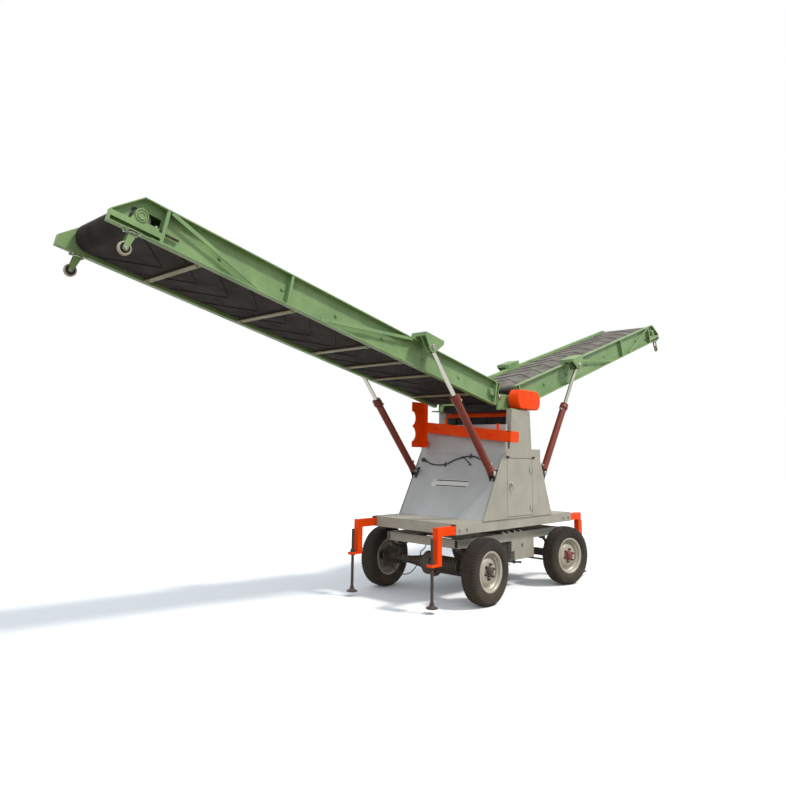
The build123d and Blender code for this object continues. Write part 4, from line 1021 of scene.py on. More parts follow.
    def build(self, shop: Workshop) -> None:
        """Make the wing's pieces."""
        groups = (("web_bolts", self.web_bolts(), Coat.GREEN),
                  ("end_flanges", self.end_flanges(), Coat.GREEN),
                  ("flange_lips", self.flange_lips(), Coat.GREEN),
                  ("bearings", self.bearings(), Coat.GREEN),
                  ("bearing_bolts", self.bearing_bolts(), Coat.ZINC),
                  ("take_up_screws", self.take_up_screws(), Coat.RUSTY))
        for name, parts, coat in groups:
            shop.piece(f"{self.end}_{name}", [self.place(part) for part in parts], coat, f"{self.end}_wing")


@dataclass
class Caster:
    """Wheel and fittings of one caster under a wing's end."""

    wing: Wing
    side: str
    swivel_s: float = 5.142
    axle_s: float = 5.167
    axle_n: float = -0.287
    across: float = 0.480
    plate_n: float = -0.1425
    cheek: float = 0.023
    # half spacing of the plate's bolts along and across, then the head's radius and height
    plate_bolts: Pair = (0.050, 0.032)
    head: Pair = (0.030, 0.020)
    fork_gap: float = 0.018
    fork_top: float = 0.032
    fork_foot: float = 0.022
    swivel_gap: float = 0.0003
    crown: float = 0.006
    pin_r: float = 0.008

    def fork(self, y: float) -> list[Surface]:
        """Swivel head, crown and two cheeks that taper to a round foot, with the axle between them.

        Args:
            y: the caster's place across the wing.

        Returns:
            The fork's surfaces.
        """
        radius, tall = self.head
        low = self.plate_n - self.swivel_gap - tall
        turn = np.linspace(0.1 * np.pi, -1.1 * np.pi, 15)
        round_foot = self.fork_foot * np.column_stack([np.cos(turn), np.sin(turn)])
        back, front = self.swivel_s - self.fork_top, self.swivel_s + self.fork_top
        top = [(x, low + self.crown - SINK) for x in (back, front)]
        outline = np.vstack([top, round_foot + [self.axle_s, self.axle_n]])
        cheeks = []
        for side in SIDES:
            sheet = prism(outline, *sorted((side * self.fork_gap, side * self.cheek)))
            cheeks.append(sheet.moved(UPRIGHT, (0.0, y, 0.0)))
        crown = slab((back, y - self.cheek, low), (front, y + self.cheek, low + self.crown))
        post = [(0.0, low), (radius, low), (radius, low + tall * 0.8), (radius - 0.003, low + tall),
                (0.0, low + tall)]
        half = self.cheek
        pin = [(0.0, -half), (self.pin_r, -half), (self.pin_r, half), (0.0, half)]
        return [*cheeks, crown, revolved(post, (self.swivel_s, y, 0.0), UP, 32),
                revolved(pin, (self.axle_s, y, self.axle_n), LEFT, 16)]

    def tread(self) -> list[Pair]:
        """Half of the tread's section as (radius, width), from the web to the middle of the running face."""
        return [(0.0400, 0.0085), (0.0425, 0.0140), (0.0450, 0.0150), (0.0500, 0.0148), (0.0535, 0.0130),
                (0.0550, 0.0090), (0.0550, 0.0000)]

    def hub(self) -> list[Pair]:
        """Half of the hub's section as (radius, width), from the bore to the tread."""
        return [(0.0082, 0.0170), (0.0170, 0.0170), (0.0190, 0.0145), (0.0200, 0.0070), (0.0385, 0.0070),
                (0.0405, 0.0090)]

    def build(self, shop: Workshop) -> None:
        """Make the caster's pieces on its wheel, its fork and the wing."""
        y = self.wing.way * self.across * (1.0 if self.side == "left" else -1.0)
        name, fork = f"{self.wing.end}_caster_wheel_{self.side}", f"{self.wing.end}_caster_{self.side}"
        axle = (self.axle_s, y, self.axle_n)
        tread, hub = self.tread(), self.hub()
        running = revolved(tread + flipped(tread[:-1]), axle, LEFT, 48, True)
        core = revolved(hub + flipped(hub), axle, LEFT, 32, True)
        shop.piece(f"{name}_tread", [self.wing.place(running)], Coat.CASTER, name, [name])
        shop.piece(f"{name}_hub", [self.wing.place(core)], Coat.DARK, name)
        plates = [self.wing.place(part) for part in self.fork(y)]
        shop.piece(f"{fork}_plates", plates, Coat.GREEN, fork, [f"{self.wing.end}_caster_fork_{self.side}"])
        ends = [bolts(0.020, 0.010, (self.axle_s, y + way * self.cheek, self.axle_n), sideways(way))
                for way in SIDES]
        race = [(0.0302, -0.004), (0.0370, -0.004), (0.0390, -0.009), (0.0370, -0.015), (0.0302, -0.015)]
        top = (self.swivel_s, y, self.plate_n)
        ends.append(revolved(race, top, UP, 32, True))
        shop.piece(f"{fork}_race_and_nuts", [self.wing.place(part) for part in ends], Coat.ZINC, fork)
        length, width = self.plate_bolts
        spots = [(self.swivel_s + a * length, y + b * width, self.plate_n) for a in SIDES for b in SIDES]
        heads = self.wing.place(bolts(0.016, 0.009, spots, DOWN))
        shop.piece(f"{fork}_plate_bolts", [heads], Coat.ZINC, f"{self.wing.end}_wing")


@dataclass
class LiftCylinders:
    """Fittings of a wing's two lifting cylinders, from the clevis on the tower to the rod's eye."""

    wing: Wing
    foot: Array
    # places as (x, z)
    wall_foot: Pair
    wall_knee: Pair
    across: float = 0.606
    cheek: float = 0.040
    # distances of the hose ports from the foot's pin
    ports: Pair = (0.090, 1.040)
    port_start: float = 0.040
    foot_off: float = 0.048
    bolt_reach: float = 0.062

    def eye(self) -> Array:
        """Middle between the two rods' eyes."""
        s, n = self.wing.rod_pin
        return self.wing.place(Surface(np.array([(s, 0.0, n)]), [])).points[0]

    def along(self) -> Array:
        """Direction from the foot's pin to the rod's eye."""
        eye = self.eye()
        return unit((eye[0] - self.foot[0], 0.0, eye[2] - self.foot[2]))

    def build(self, shop: Workshop) -> None:
        """Make the pieces on the barrels, on the rods and on the tower."""
        end, way, line = self.wing.end, self.wing.way, self.along()
        inward = way * np.array([-line[2], 0.0, line[0]])
        feet = np.array([(self.foot[0], side * self.across, self.foot[2]) for side in SIDES])
        collar = [(0.0450, 1.070), (0.0510, 1.070), (0.0535, 1.074), (0.0580, 1.092), (0.0580, 1.112),
                  (0.0545, 1.117), (0.0545, 1.140), (0.0560, 1.143), (0.0560, 1.150), (0.0520, 1.157),
                  (0.0330, 1.157), (0.0330, 1.150)]
        foot_ring = [(0.0440, 0.046), (0.0480, 0.047), (0.0495, 0.053), (0.0480, 0.060), (0.0440, 0.064)]
        rings = [revolved(ring, spot, line, 40, True) for ring in (collar, foot_ring) for spot in feet]
        shop.piece(f"{end}_gland_nuts", rings, Coat.OXIDE, f"{end}_barrels")
        wiper = [(0.0258, 1.152), (0.0330, 1.152), (0.0330, 1.161), (0.0295, 1.168), (0.0258, 1.166)]
        shop.piece(f"{end}_rod_wipers", [revolved(wiper, spot, line, 32, True) for spot in feet], Coat.HOSE,
                   f"{end}_barrels")
        boss = turned([(0.0, 0.0), (0.018, 0.0), (0.018, 0.010), (0.014, 0.012), (0.014, 0.020),
                       (0.0, 0.020)], 20)
        spots = np.vstack([feet + at * line + self.port_start * inward for at in self.ports])
        nuts = copies(hex_head(0.024, 0.022, 1.0), spots + 0.019 * inward, inward)
        shop.piece(f"{end}_cylinder_ports", [copies(boss, spots, inward), nuts], Coat.ZINC, f"{end}_barrels")
        eye = self.eye()
        half = [(0.0185, 0.0), (0.0185, 0.002), (0.0196, 0.004), (0.0196, 0.0245), (0.0180, 0.0265),
                (0.0, 0.0265)]
        shaft = turned(flipped(half[1:]) + half, 24)
        eyes = [(eye[0], side * self.across, eye[2]) for side in SIDES]
        shop.piece(f"{end}_eye_pins", [copies(shaft, eyes, LEFT)], Coat.STEEL, f"{end}_rods")
        self.feet(shop, feet)

    def feet(self, shop: Workshop, feet: Array) -> None:
        """Make the foot pins' heads and the foot plates' bolts.

        Args:
            shop: where the pieces are made.
            feet: middle of each foot pin.
        """
        way = self.wing.way
        slope = unit((self.wall_knee[0] - self.wall_foot[0], 0.0, self.wall_knee[1] - self.wall_foot[1]))
        out = way * np.array([slope[2], 0.0, -slope[0]])
        head = pin_head(0.030, 0.024, 0.013, 0.003)
        parts = [copies(head, feet + [0.0, side * self.cheek, 0.0], sideways(side)) for side in SIDES]
        for reach in (-self.bolt_reach, self.bolt_reach):
            parts.append(bolts(0.022, 0.012, feet - self.foot_off * out + reach * slope, out))
        shop.piece(f"{self.wing.end}_foot_pins", parts, Coat.ZINC, "turntable")


# Screw legs

@dataclass
class ScrewLeg:
    """A screw leg with its round foot, and the nut that stays on the outrigger."""

    end: str
    side: str
    x: float = 1.712
    y: float = 0.593
    # undersides and tops of the outrigger's tab and of the screw's thread
    tab: Pair = (0.472, 0.500)
    thread: Pair = (0.112, 0.765)
    radius: float = 0.018
    pitch: float = 0.011
    depth: float = 0.003
    sides: int = 20

    def spot(self) -> Array:
        """Point on the ground under the screw."""
        way = 1.0 if self.end == "front" else -1.0
        side = 1.0 if self.side == "left" else -1.0
        return np.array([way * self.x, side * self.y, 0.0])

    def screw(self) -> Surface:
        """Screw: radius less depth * wave, a clipped cosine of height over pitch less the turn."""
        rows = int((self.thread[1] - self.thread[0]) / self.pitch * 6)
        height = np.linspace(*self.thread, rows)[:, None]
        turn = np.linspace(0.0, 2 * np.pi, self.sides, endpoint=False)[None]
        wave = np.clip(0.5 + 0.9 * np.cos(2 * np.pi * height / self.pitch - turn), 0.0, 1.0)
        radius = self.radius - self.depth * wave
        height = np.broadcast_to(height, radius.shape)
        points = np.stack([radius * np.cos(turn), radius * np.sin(turn), height], -1)
        last = (rows - 1) * self.sides
        caps = [list(range(self.sides))[::-1], list(range(last, last + self.sides))]
        return Surface(points.reshape(-1, 3) + self.spot(), grid_faces(rows, self.sides, False, True) + caps)

    def foot(self) -> Surface:
        """Round foot: a turned pad with a soft rim that rises to the neck under the screw."""
        pad = [(0.0, 0.0500), (0.0580, 0.0500), (0.0635, 0.0525), (0.0655, 0.0575), (0.0640, 0.0625),
               (0.0560, 0.0670), (0.0430, 0.0705), (0.0330, 0.0770), (0.0270, 0.0880), (0.0235, 0.1000),
               (0.0225, 0.1140), (0.0190, 0.1180), (0.0, 0.1180)]
        return revolved(pad, self.spot(), UP, 40)

    def build(self, shop: Workshop) -> None:
        """Make the leg and its nut."""
        tag = f"{self.end}_{self.side}"
        shop.piece(f"leg_screw_{tag}", [self.screw()], Coat.RUSTY, f"leg_{tag}", [f"leg_{tag}"])
        shop.piece(f"leg_foot_{tag}", [self.foot()], Coat.RUSTY, f"leg_{tag}")
        above = copies(hex_head(0.050, 0.034, 1.25), self.spot() + [0.0, 0.0, self.tab[1]], UP)
        ring = [(0.0190, 0.001), (0.0300, 0.001), (0.0300, -0.006), (0.0270, -0.010), (0.0190, -0.010)]
        below = revolved(ring, self.spot() + [0.0, 0.0, self.tab[0]], UP, 28, True)
        shop.piece(f"leg_nut_{tag}", [above, below], Coat.RUSTY, "turntable")


# Tower and deck

@dataclass
class Tower:
    """What the tower and deck carry: door handle, catches, plate, wall hose, cover, pins and bolts."""

    pin: Array
    side_y: float = 0.647
    # places as (x, z), the rear wall's foot and crease first
    foot: Pair = REAR_WALL[0]
    crease: Pair = REAR_WALL[1]
    knob: Pair = (-0.225, 1.309)
    knob_face: float = -0.673
    # lever's line from the knob as (ahead, out, up)
    grip: tuple[Point, ...] = (
        (-0.006, 0.0, 0.010), (0.0, 0.006, 0.0), (0.012, 0.010, -0.030), (0.026, 0.008, -0.068))
    catches: tuple[Pair, ...] = ((-0.289, 1.640), (0.325, 1.634))
    # edges of the plate to the right and up the slope of the rear wall
    plate_right: Pair = (-0.285, 0.285)
    plate_v: Pair = (0.410, 0.510)
    rivet_in: float = 0.015
    hose_r: float = 0.008
    hose_off: float = 0.014
    # routes on the rear wall as (to the right, up the slope)
    hose_line: tuple[Pair, ...] = (
        (-0.545, 0.776), (-0.358, 0.713), (-0.160, 0.719), (-0.010, 0.797), (0.194, 0.846), (0.363, 0.799),
        (0.520, 0.690))
    tee_from: Pair = (0.010, 0.806)
    branch: tuple[Pair, ...] = ((0.070, 0.826), (0.118, 0.806), (0.175, 0.764), (0.217, 0.730))
    bracket_face: float = 0.469
    bracket_foot: float = 2.245
    bracket_bolt_x: tuple[float, ...] = (-0.13, -0.05, 0.05, 0.13)
    bracket_bolt_y: float = 0.491
    cover_x: Pair = (-0.045, 0.512)
    cover_y: Pair = (-0.665, -0.512)
    cover_z: Pair = (2.250, 2.498)
    cover_bulge: float = 0.068
    cover_foot: tuple[Point, Point] = ((0.195, -0.620, 2.230), (0.235, -0.585, 2.300))
    beam_face: float = -0.430
    # middles of the bolt pairs as (y, z)
    beam_bolts: tuple[Pair, ...] = ((-0.495, 1.9098), (0.370, 1.9931))
    beam_front: float = -0.245
    beam_round: float = 0.040
    beam_half: float = 0.0675
    beam_reach: Pair = (-0.636, -0.702)
    beam_middle: Pair = (-0.0775, 1.950)
    beam_tilt: float = 5.5
    beam_flange: float = 0.068
    panel: tuple[Point, Point] = ((-0.006, -0.572, 1.738), (0.006, 0.520, 2.148))
    # half length, floor and rim
    tray: tuple[float, float, float] = (0.132, 2.212, 2.310)
    tray_y: float = 0.450
    # two distances ahead or behind, and the height
    deck_bolts: tuple[float, float, float] = (1.130, 1.270, 0.827)
    deck_side: float = 0.635

    def wall(self) -> tuple[Array, Array, Array]:
        """Axes of the rear wall: to the right, up the slope and out of it."""
        up = unit((self.crease[0] - self.foot[0], 0.0, self.crease[1] - self.foot[1]))
        return np.array(RIGHT), up, np.array([-up[2], 0.0, up[0]])

    def on_wall(self, spots: Rows, off: float) -> Array:
        """Points on the rear wall.

        Args:
            spots: rows of (distance to the right, distance up the slope).
            off: distance out of the wall.

        Returns:
            The points in the machine's frame.
        """
        right, up, out = self.wall()
        flat = np.asarray(spots, float)
        root = np.array([self.foot[0], 0.0, self.foot[1]])
        return root + flat[:, :1] * right + flat[:, 1:] * up + off * out

    def door_handle(self) -> list[Surface]:
        """Lever on the door's knob, with a rosette under it."""
        x, z = self.knob
        rosette = turned([(0.0, -0.002), (0.032, -0.002), (0.032, 0.003), (0.027, 0.007), (0.0, 0.007)], 32)
        grip = smooth_line([(x + ahead, self.knob_face - out, z + up) for ahead, out, up in self.grip], 8)
        cap = turned([(0.0, -0.004), (0.0185, -0.004), (0.0185, 0.008), (0.015, 0.012), (0.0, 0.013)], 28)
        return [copies(rosette, (x, -self.side_y, z), RIGHT),
                swept(rounded(0.016, 0.012, 0.005), grip, RIGHT),
                copies(cap, (x, self.knob_face, z), RIGHT)]

    def door_catches(self) -> list[Surface]:
        """Dark moulded catches above the door's upper corners, each with a screw."""
        parts = []
        for x, z in self.catches:
            body = prism(rounded(0.052, 0.022, 0.006), -0.001, 0.013)
            spot = np.array([x, -self.side_y, z])
            parts.append(copies(body, spot, RIGHT))
            parts.append(bolts(0.010, 0.005, spot + [0.0, -0.013, 0.0], RIGHT))
        return parts

    def corner_beads(self) -> list[Surface]:
        """Round beads along the upright corners between the rear wall and the side walls."""
        parts = []
        for side in SIDES:
            y = side * (self.side_y - 0.004)
            line = np.array([(x, y, z) for x, z in (self.foot, self.crease)])
            parts.append(swept(circle(0.007, 12), line, AHEAD))
        return parts

    def blank_plate(self) -> list[Surface]:
        """Bare plate on the rear wall with a rivet in each corner."""
        right, up, out = self.wall()
        middle = self.on_wall([(sum(self.plate_right) / 2, sum(self.plate_v) / 2)], 0.0)[0]
        size = (self.plate_right[1] - self.plate_right[0], self.plate_v[1] - self.plate_v[0])
        sheet = prism(rounded(*size, 0.010), -0.0005, 0.003).moved(np.stack([right, up, out]), middle)
        rivet = turned([(0.0, 0.0), (0.006, 0.0), (0.005, 0.003), (0.0, 0.004)], 12)
        across, along = (length / 2 - self.rivet_in for length in size)
        spots = [(a * across, b * along) for a in SIDES for b in SIDES]
        places = np.array([middle + a * right + b * up + 0.003 * out for a, b in spots])
        return [sheet, copies(rivet, places, out)]

    def plate_strips(self) -> list[Surface]:
        """Dark strips along the plate's upper and lower edges."""
        start, end = self.plate_right[0] + 0.070, self.plate_right[1] - 0.008
        rows = (self.plate_v[0] + 0.014, self.plate_v[1] - 0.014)
        out = self.wall()[2]
        return [bar(*self.on_wall([(start, v), (end, v)], 0.0035), 0.012, 0.002, 0.0008, out) for v in rows]

    def hoses(self) -> list[Surface]:
        """Wall hose and its short branch: a circle carried along a smooth line through the route's points."""
        out = self.wall()[2]
        main = smooth_line(self.on_wall(self.hose_line, self.hose_off), 14)
        side = smooth_line(self.on_wall(self.branch, self.hose_off), 10)
        return [swept(circle(self.hose_r, 14), main, out), swept(circle(self.hose_r * 0.7, 12), side, out)]

    def hose_fittings(self) -> list[Surface]:
        """Blocks with hexagon nuts at the hose's ends, a tee at the branch, and clips that hold the hose."""
        right, up, out = self.wall()
        line = self.on_wall(self.hose_line, self.hose_off)
        axes = np.stack([right, up, out])
        block = prism(rounded(0.044, 0.044, 0.006), 0.0, 0.030)
        sleeve = turned([(0.0, 0.0), (0.0105, 0.0), (0.0105, 0.040), (0.0088, 0.042), (0.0, 0.042)], 16)
        parts = []
        for end, near in ((0, 1), (-1, -2)):
            root = line[end] - self.hose_off * out
            parts.append(block.moved(axes, root))
            way = unit(line[near] - line[end])
            parts.append(copies(hex_head(0.024, 0.026, 1.0), line[end] + 0.018 * way, way))
            parts.append(copies(sleeve, line[end] + 0.040 * way, way))
        tee = self.on_wall([self.branch[0], self.branch[-1]], self.hose_off)
        parts.append(copies(hex_head(0.022, 0.020, 1.0), tee[1] - 0.014 * out, out))
        socket = turned([(0.0, -0.016), (0.0115, -0.016), (0.0115, 0.016), (0.0, 0.016)], 16)
        before = self.on_wall([self.tee_from], self.hose_off)[0]
        parts.append(copies(socket, tee[0], unit(tee[0] - before)))
        strap = prism(rounded(0.022, 0.060, 0.008), 0.0, 0.003)
        for spot in (2, 4):
            parts.append(strap.moved(axes, line[spot] + 0.006 * out))
            low = line[spot] - 0.022 * up - self.hose_off * out
            parts.append(bolts(0.012, 0.020, low, out))
        return parts

    def drive_cover(self) -> list[Surface]:
        """Guard: an outline with bulged ends, x = end + bulge * (1 - rise^2), carried across."""
        low, high = self.cover_z
        rise = np.linspace(-1.0, 1.0, 17)
        bow = self.cover_bulge * (1.0 - rise**2)
        z = (low + high) / 2 + rise * (high - low) / 2
        front = np.column_stack([self.cover_x[1] - self.cover_bulge + bow, z])
        back = np.column_stack([self.cover_x[0] + self.cover_bulge - bow, z])[::-1]
        shell = prism(np.vstack([front, back]), -self.cover_y[1], -self.cover_y[0])
        return [shell.moved(UPRIGHT, ORIGIN)]

    def guard_foot(self) -> list[Surface]:
        """Foot of the guard: a post on a base plate with a bolt at each end."""
        low, high = np.array(self.cover_foot)
        middle = (low + high) / 2
        reach, top = np.array([0.030, 0.004, 0.0]), low[2] + 0.006
        base = slab(low - reach, (*(high + reach)[:2], top), 0.002)
        heads = [(x, middle[1], top) for x in (low[0] - 0.016, high[0] + 0.016)]
        return [slab(low, high), base, bolts(0.016, 0.010, heads, UP)]

    def beam_end(self) -> list[Surface]:
        """Right-hand end of the cross beam: web, two flanges and a plate with one round corner."""
        back, front, edge = self.beam_face, self.beam_front, self.beam_round
        start, end = self.beam_reach
        tall, thick = self.beam_half, 0.008
        turn = np.linspace(0.0, np.pi / 2, 9)
        corner = np.column_stack([front - edge + edge * np.cos(turn), tall - edge + edge * np.sin(turn)])
        outline = np.vstack([[(back, -tall), (front, -tall)], corner, [(back, tall)]])
        parts = [prism(outline, -end, -end + thick).moved(UPRIGHT, ORIGIN),
                 slab((back, end, -tall), (back + thick, start, tall), 0.001)]
        for side in SIDES:
            low, high = sorted((side * tall, side * (tall - thick)))
            parts.append(slab((back, end, low), (back + self.beam_flange, start, high), 0.001))
        lean = math.radians(self.beam_tilt)
        axes = (AHEAD, (0.0, math.cos(lean), math.sin(lean)), (0.0, -math.sin(lean), math.cos(lean)))
        return [part.moved(axes, (0.0, self.beam_middle[0], self.beam_middle[1])) for part in parts]

    def closing_panel(self) -> list[Surface]:
        """Sheet between the columns over the roof, with folded edges and upright stiffeners; near-black as
        painted shade of the tower's dark interior.
        """
        low, high = self.panel
        parts = [slab(low, high, 0.002),
                 slab((low[0] - 0.030, low[1], high[2] - 0.008), (high[0] + 0.030, high[1], high[2]), 0.002)]
        for y in np.linspace(low[1] + 0.18, high[1] - 0.18, 4):
            foot, top = (low[0] - 0.020, y - 0.010, low[2]), (high[0] + 0.020, y + 0.010, high[2] - 0.006)
            parts.append(slab(foot, top, 0.002))
        return parts

    def spill_tray(self) -> list[Surface]:
        """Tray between the pin brackets under the gap of the two belts, near-black as painted shade under the
        belts: a thin U carried across.
        """
        half, low, high = self.tray
        thick = 0.005
        outer = [(-half, high), (-half, low), (half, low), (half, high)]
        side, floor = half - thick, low + thick
        inner = [(side, high), (side, floor), (-side, floor), (-side, high)]
        return [prism(outer + inner, -self.tray_y, self.tray_y).moved(UPRIGHT, ORIGIN)]

    def fasteners(self) -> list[Surface]:
        """Wing pins' heads, bolts of the pin brackets, and the bolts that hold the outrigger arms."""
        x, _, z = self.pin
        head = pin_head(0.034, 0.027, 0.018, 0.004, 28)
        parts = []
        for side in SIDES:
            pins = [(way * x, side * self.bracket_face, z) for way in SIDES]
            parts.append(copies(head, pins, sideways(side)))
            feet = [(at, side * self.bracket_bolt_y, self.bracket_foot) for at in self.bracket_bolt_x]
            parts.append(bolts(0.024, 0.015, feet, UP))
            arms = [(way * at, side * self.deck_side, self.deck_bolts[2]) for way in SIDES
                    for at in self.deck_bolts[:2]]
            parts.append(bolts(0.024, 0.015, arms, sideways(side)))
        return parts

    def beam_heads(self) -> list[Surface]:
        """Painted bolt heads where the cross beam is bolted to its seats."""
        spots = [(self.beam_face, y + way * 0.022, z) for y, z in self.beam_bolts for way in SIDES]
        return [bolts(0.026, 0.016, spots, BACK)]

    def build(self, shop: Workshop) -> None:
        """Make the tower's pieces."""
        shop.piece("door_handle", self.door_handle(), Coat.RIM, "door")
        shop.piece("door_catches", self.door_catches(), Coat.DARK, "turntable")
        shop.piece("corner_beads", self.corner_beads(), Coat.GREY, "turntable")
        shop.piece("blank_plate", self.blank_plate(), Coat.PLATE, "turntable")
        shop.piece("plate_strips", self.plate_strips(), Coat.DARK, "turntable")
        shop.piece("wall_hose", self.hoses(), Coat.HOSE, "turntable", ["rear_hose"])
        shop.piece("hose_fittings", self.hose_fittings(), Coat.BLACK, "turntable")
        shop.piece("bulged_cover", self.drive_cover(), Coat.ORANGE, "turntable", ["drive_cover"], 0.014)
        shop.piece("cover_foot", self.guard_foot(), Coat.ORANGE, "turntable")
        shop.piece("tower_fasteners", self.fasteners(), Coat.ZINC, "turntable")
        shop.piece("beam_end", self.beam_end(), Coat.ORANGE, "turntable")
        # the closing panel and spill tray are near-black as painted shade
        shop.piece("closing_panel", self.closing_panel(), Coat.DARK, "turntable")
        shop.piece("spill_tray", self.spill_tray(), Coat.DARK, "turntable")
        shop.piece("beam_bolt_heads", self.beam_heads(), Coat.ORANGE, "turntable")


# Undercarriage

@dataclass
class Undercarriage:
    """What hangs under the frame: leaf springs, axle fittings, brakes, ring clamps and the box's lever."""

    joints: Joints
    axle_r: float = 0.045
    rail_bottom: float = 0.603
    rail_top: float = 0.702
    spring_y: float = 0.500
    spring_half: float = 0.180
    spring_width: float = 0.050
    eye_z: float = 0.567
    eye_up: float = 0.018
    spring_rise: float = 0.060
    leaves: int = 5
    leaf_thick: float = 0.006
    leaf_step: float = 0.030
    seat_z: float = 0.420
    diff_half: float = 0.062
    diff_ribs: int = 10
    cover_bolts: int = 14
    cover_circle: float = 0.141
    cover_face: float = -0.058
    pinion_x: float = 0.198
    pinion_bolts: int = 4
    pinion_circle: float = 0.052
    drum_in: float = 0.6777
    clamp_x: tuple[float, ...] = (-0.20, -0.07, 0.07, 0.20)
    clamp_y: float = 0.505
    # half length, half width and height
    clamp: Point = (0.028, 0.026, 0.012)
    bolt_plate: Point = (0.068, 0.046, 0.014)
    bolt_x: float = 0.052
    bolt_r: float = 0.006
    casing_y: float = 0.125
    casing_length: float = 0.300
    casing_r: float = 0.086
    fin_deep: float = 0.016
    fin_pitch: float = 0.040
    pipe_r: float = 0.006
    pipe_drop: tuple[Point, ...] = (
        (-1.130, -0.042, 0.604), (-1.120, -0.030, 0.575), (-1.060, 0.050, 0.530), (-1.000, 0.134, 0.494),
        (-0.968, 0.168, 0.450), (-0.960, 0.172, 0.412))
    pipe_loop: tuple[Point, ...] = (
        (-0.975, 0.128, 0.372), (-1.000, 0.180, 0.337), (-1.000, 0.289, 0.229), (-1.000, 0.416, 0.188),
        (-0.998, 0.530, 0.215), (-0.992, 0.630, 0.285), (-0.990, 0.676, 0.315))
    lever: tuple[Point, Point] = ((-0.100, -0.500, 0.356), (0.190, -0.500, 0.322))
    lever_plate: tuple[Point, Point] = ((0.030, -0.512, 0.318), (0.085, -0.506, 0.367))
    lever_pivot: Point = (0.058, -0.512, 0.337)
    flap_x: Pair = (-0.116, -0.048)
    flap_y: float = -0.524
    flap_z: Pair = (0.386, 0.604)
    flap_thick: float = 0.006
    flap_swing: float = 0.003
    flap_waves: float = 185.0
    flap_strip: tuple[Point, Point] = ((-0.118, -0.534, 0.578), (-0.046, -0.529, 0.602))
    flap_bolts: tuple[Point, Point] = ((-0.100, -0.534, 0.590), (-0.064, -0.534, 0.590))

    @property
    def half_base(self) -> float:
        """Half the distance between the axles."""
        return float(self.joints.at("steer_left")[0])

    @property
    def axle_z(self) -> float:
        """Height of both axles."""
        return float(self.joints.at("steer_left")[2])

    def spring_spots(self) -> list[Pair]:
        """Middle of each leaf spring as (x, y)."""
        return [(way * self.half_base, side * self.spring_y) for way in SIDES for side in SIDES]

    def leaf_packs(self) -> list[Surface]:
        """Leaves, shorter towards the bottom: a flat section carried along z = low + rise * (x / half)^2."""
        section = rounded(self.spring_width, self.leaf_thick * 0.94, 0.0015, 2)
        parts = []
        for x, y in self.spring_spots():
            for leaf in range(self.leaves):
                run = np.linspace(-1.0, 1.0, 17) * (self.spring_half - self.leaf_step * leaf)
                low = self.eye_z - self.spring_rise + self.leaf_thick * (self.leaves - 0.5 - leaf)
                height = low + self.spring_rise * (run / self.spring_half) ** 2
                parts.append(swept(section, np.column_stack([x + run, np.full(17, y), height])))
            eyes = [(x + way * self.spring_half, y, self.eye_z + self.eye_up) for way in SIDES]
            half = self.spring_width / 2
            eye = turned([(0.0, -half), (0.016, -half), (0.016, half), (0.0, half)], 20)
            parts.append(copies(eye, eyes, LEFT))
            saddle = [(-0.045, self.seat_z - 0.002), (0.045, self.seat_z - 0.002),
                      (0.045, self.seat_z + 0.014), (0.030, self.seat_z + 0.030), (0.030, 0.492),
                      (0.040, 0.510), (-0.040, 0.510), (-0.030, 0.492), (-0.030, self.seat_z + 0.030),
                      (-0.045, self.seat_z + 0.014)]
            parts.append(prism(saddle, -half, half).moved(UPRIGHT, (x, y, 0.0)))
        return parts

    def hangers(self) -> list[Surface]:
        """Hanger plates beside the spring eyes with their bolts."""
        outline = [(-0.032, 0.0), (0.032, 0.0), (0.024, -0.030), (0.012, -0.037), (-0.012, -0.037),
                   (-0.024, -0.030)]
        plate = prism(outline, 0.0, 0.006)
        parts = []
        for x, y in self.spring_spots():
            for way in SIDES:
                eye = x + way * self.spring_half
                for side in SIDES:
                    face = y + side * (self.spring_width / 2 + 0.004)
                    parts.append(plate.moved(UPRIGHT, (eye, face + 0.003, self.rail_bottom + 0.001)))
                    spot = (eye, face + side * 0.003, self.eye_z + self.eye_up)
                    parts.append(bolts(0.022, 0.012, spot, sideways(side)))
        return parts

    def u_bolts(self) -> list[Surface]:
        """U-bolts over the springs: a round bar down, across and up, with a plate and nuts under the axle."""
        parts = []
        low = self.axle_z - self.axle_r - 0.012
        over = self.eye_z - self.spring_rise + self.leaf_thick * self.leaves + 0.004
        for x, y in self.spring_spots():
            for at in (-self.bolt_x, self.bolt_x):
                half = self.spring_width / 2 + 0.007
                corner = np.linspace(0.0, np.pi, 13)
                top = over - 0.014 + 0.016 * np.sin(corner)
                bend = np.column_stack([np.full(13, x + at), y - half * np.cos(corner), top])
                first, last = ((x + at, y + side * half, low - 0.016) for side in SIDES)
                parts.append(swept(circle(self.bolt_r, 10), np.vstack([first, bend, last]), AHEAD))
                nuts = [(x + at, y + side * half, low) for side in SIDES]
                parts.append(bolts(0.018, 0.012, nuts, DOWN))
            long, wide, tall = self.bolt_plate
            parts.append(slab((x - long, y - wide, low), (x + long, y + wide, low + tall)))
        return parts

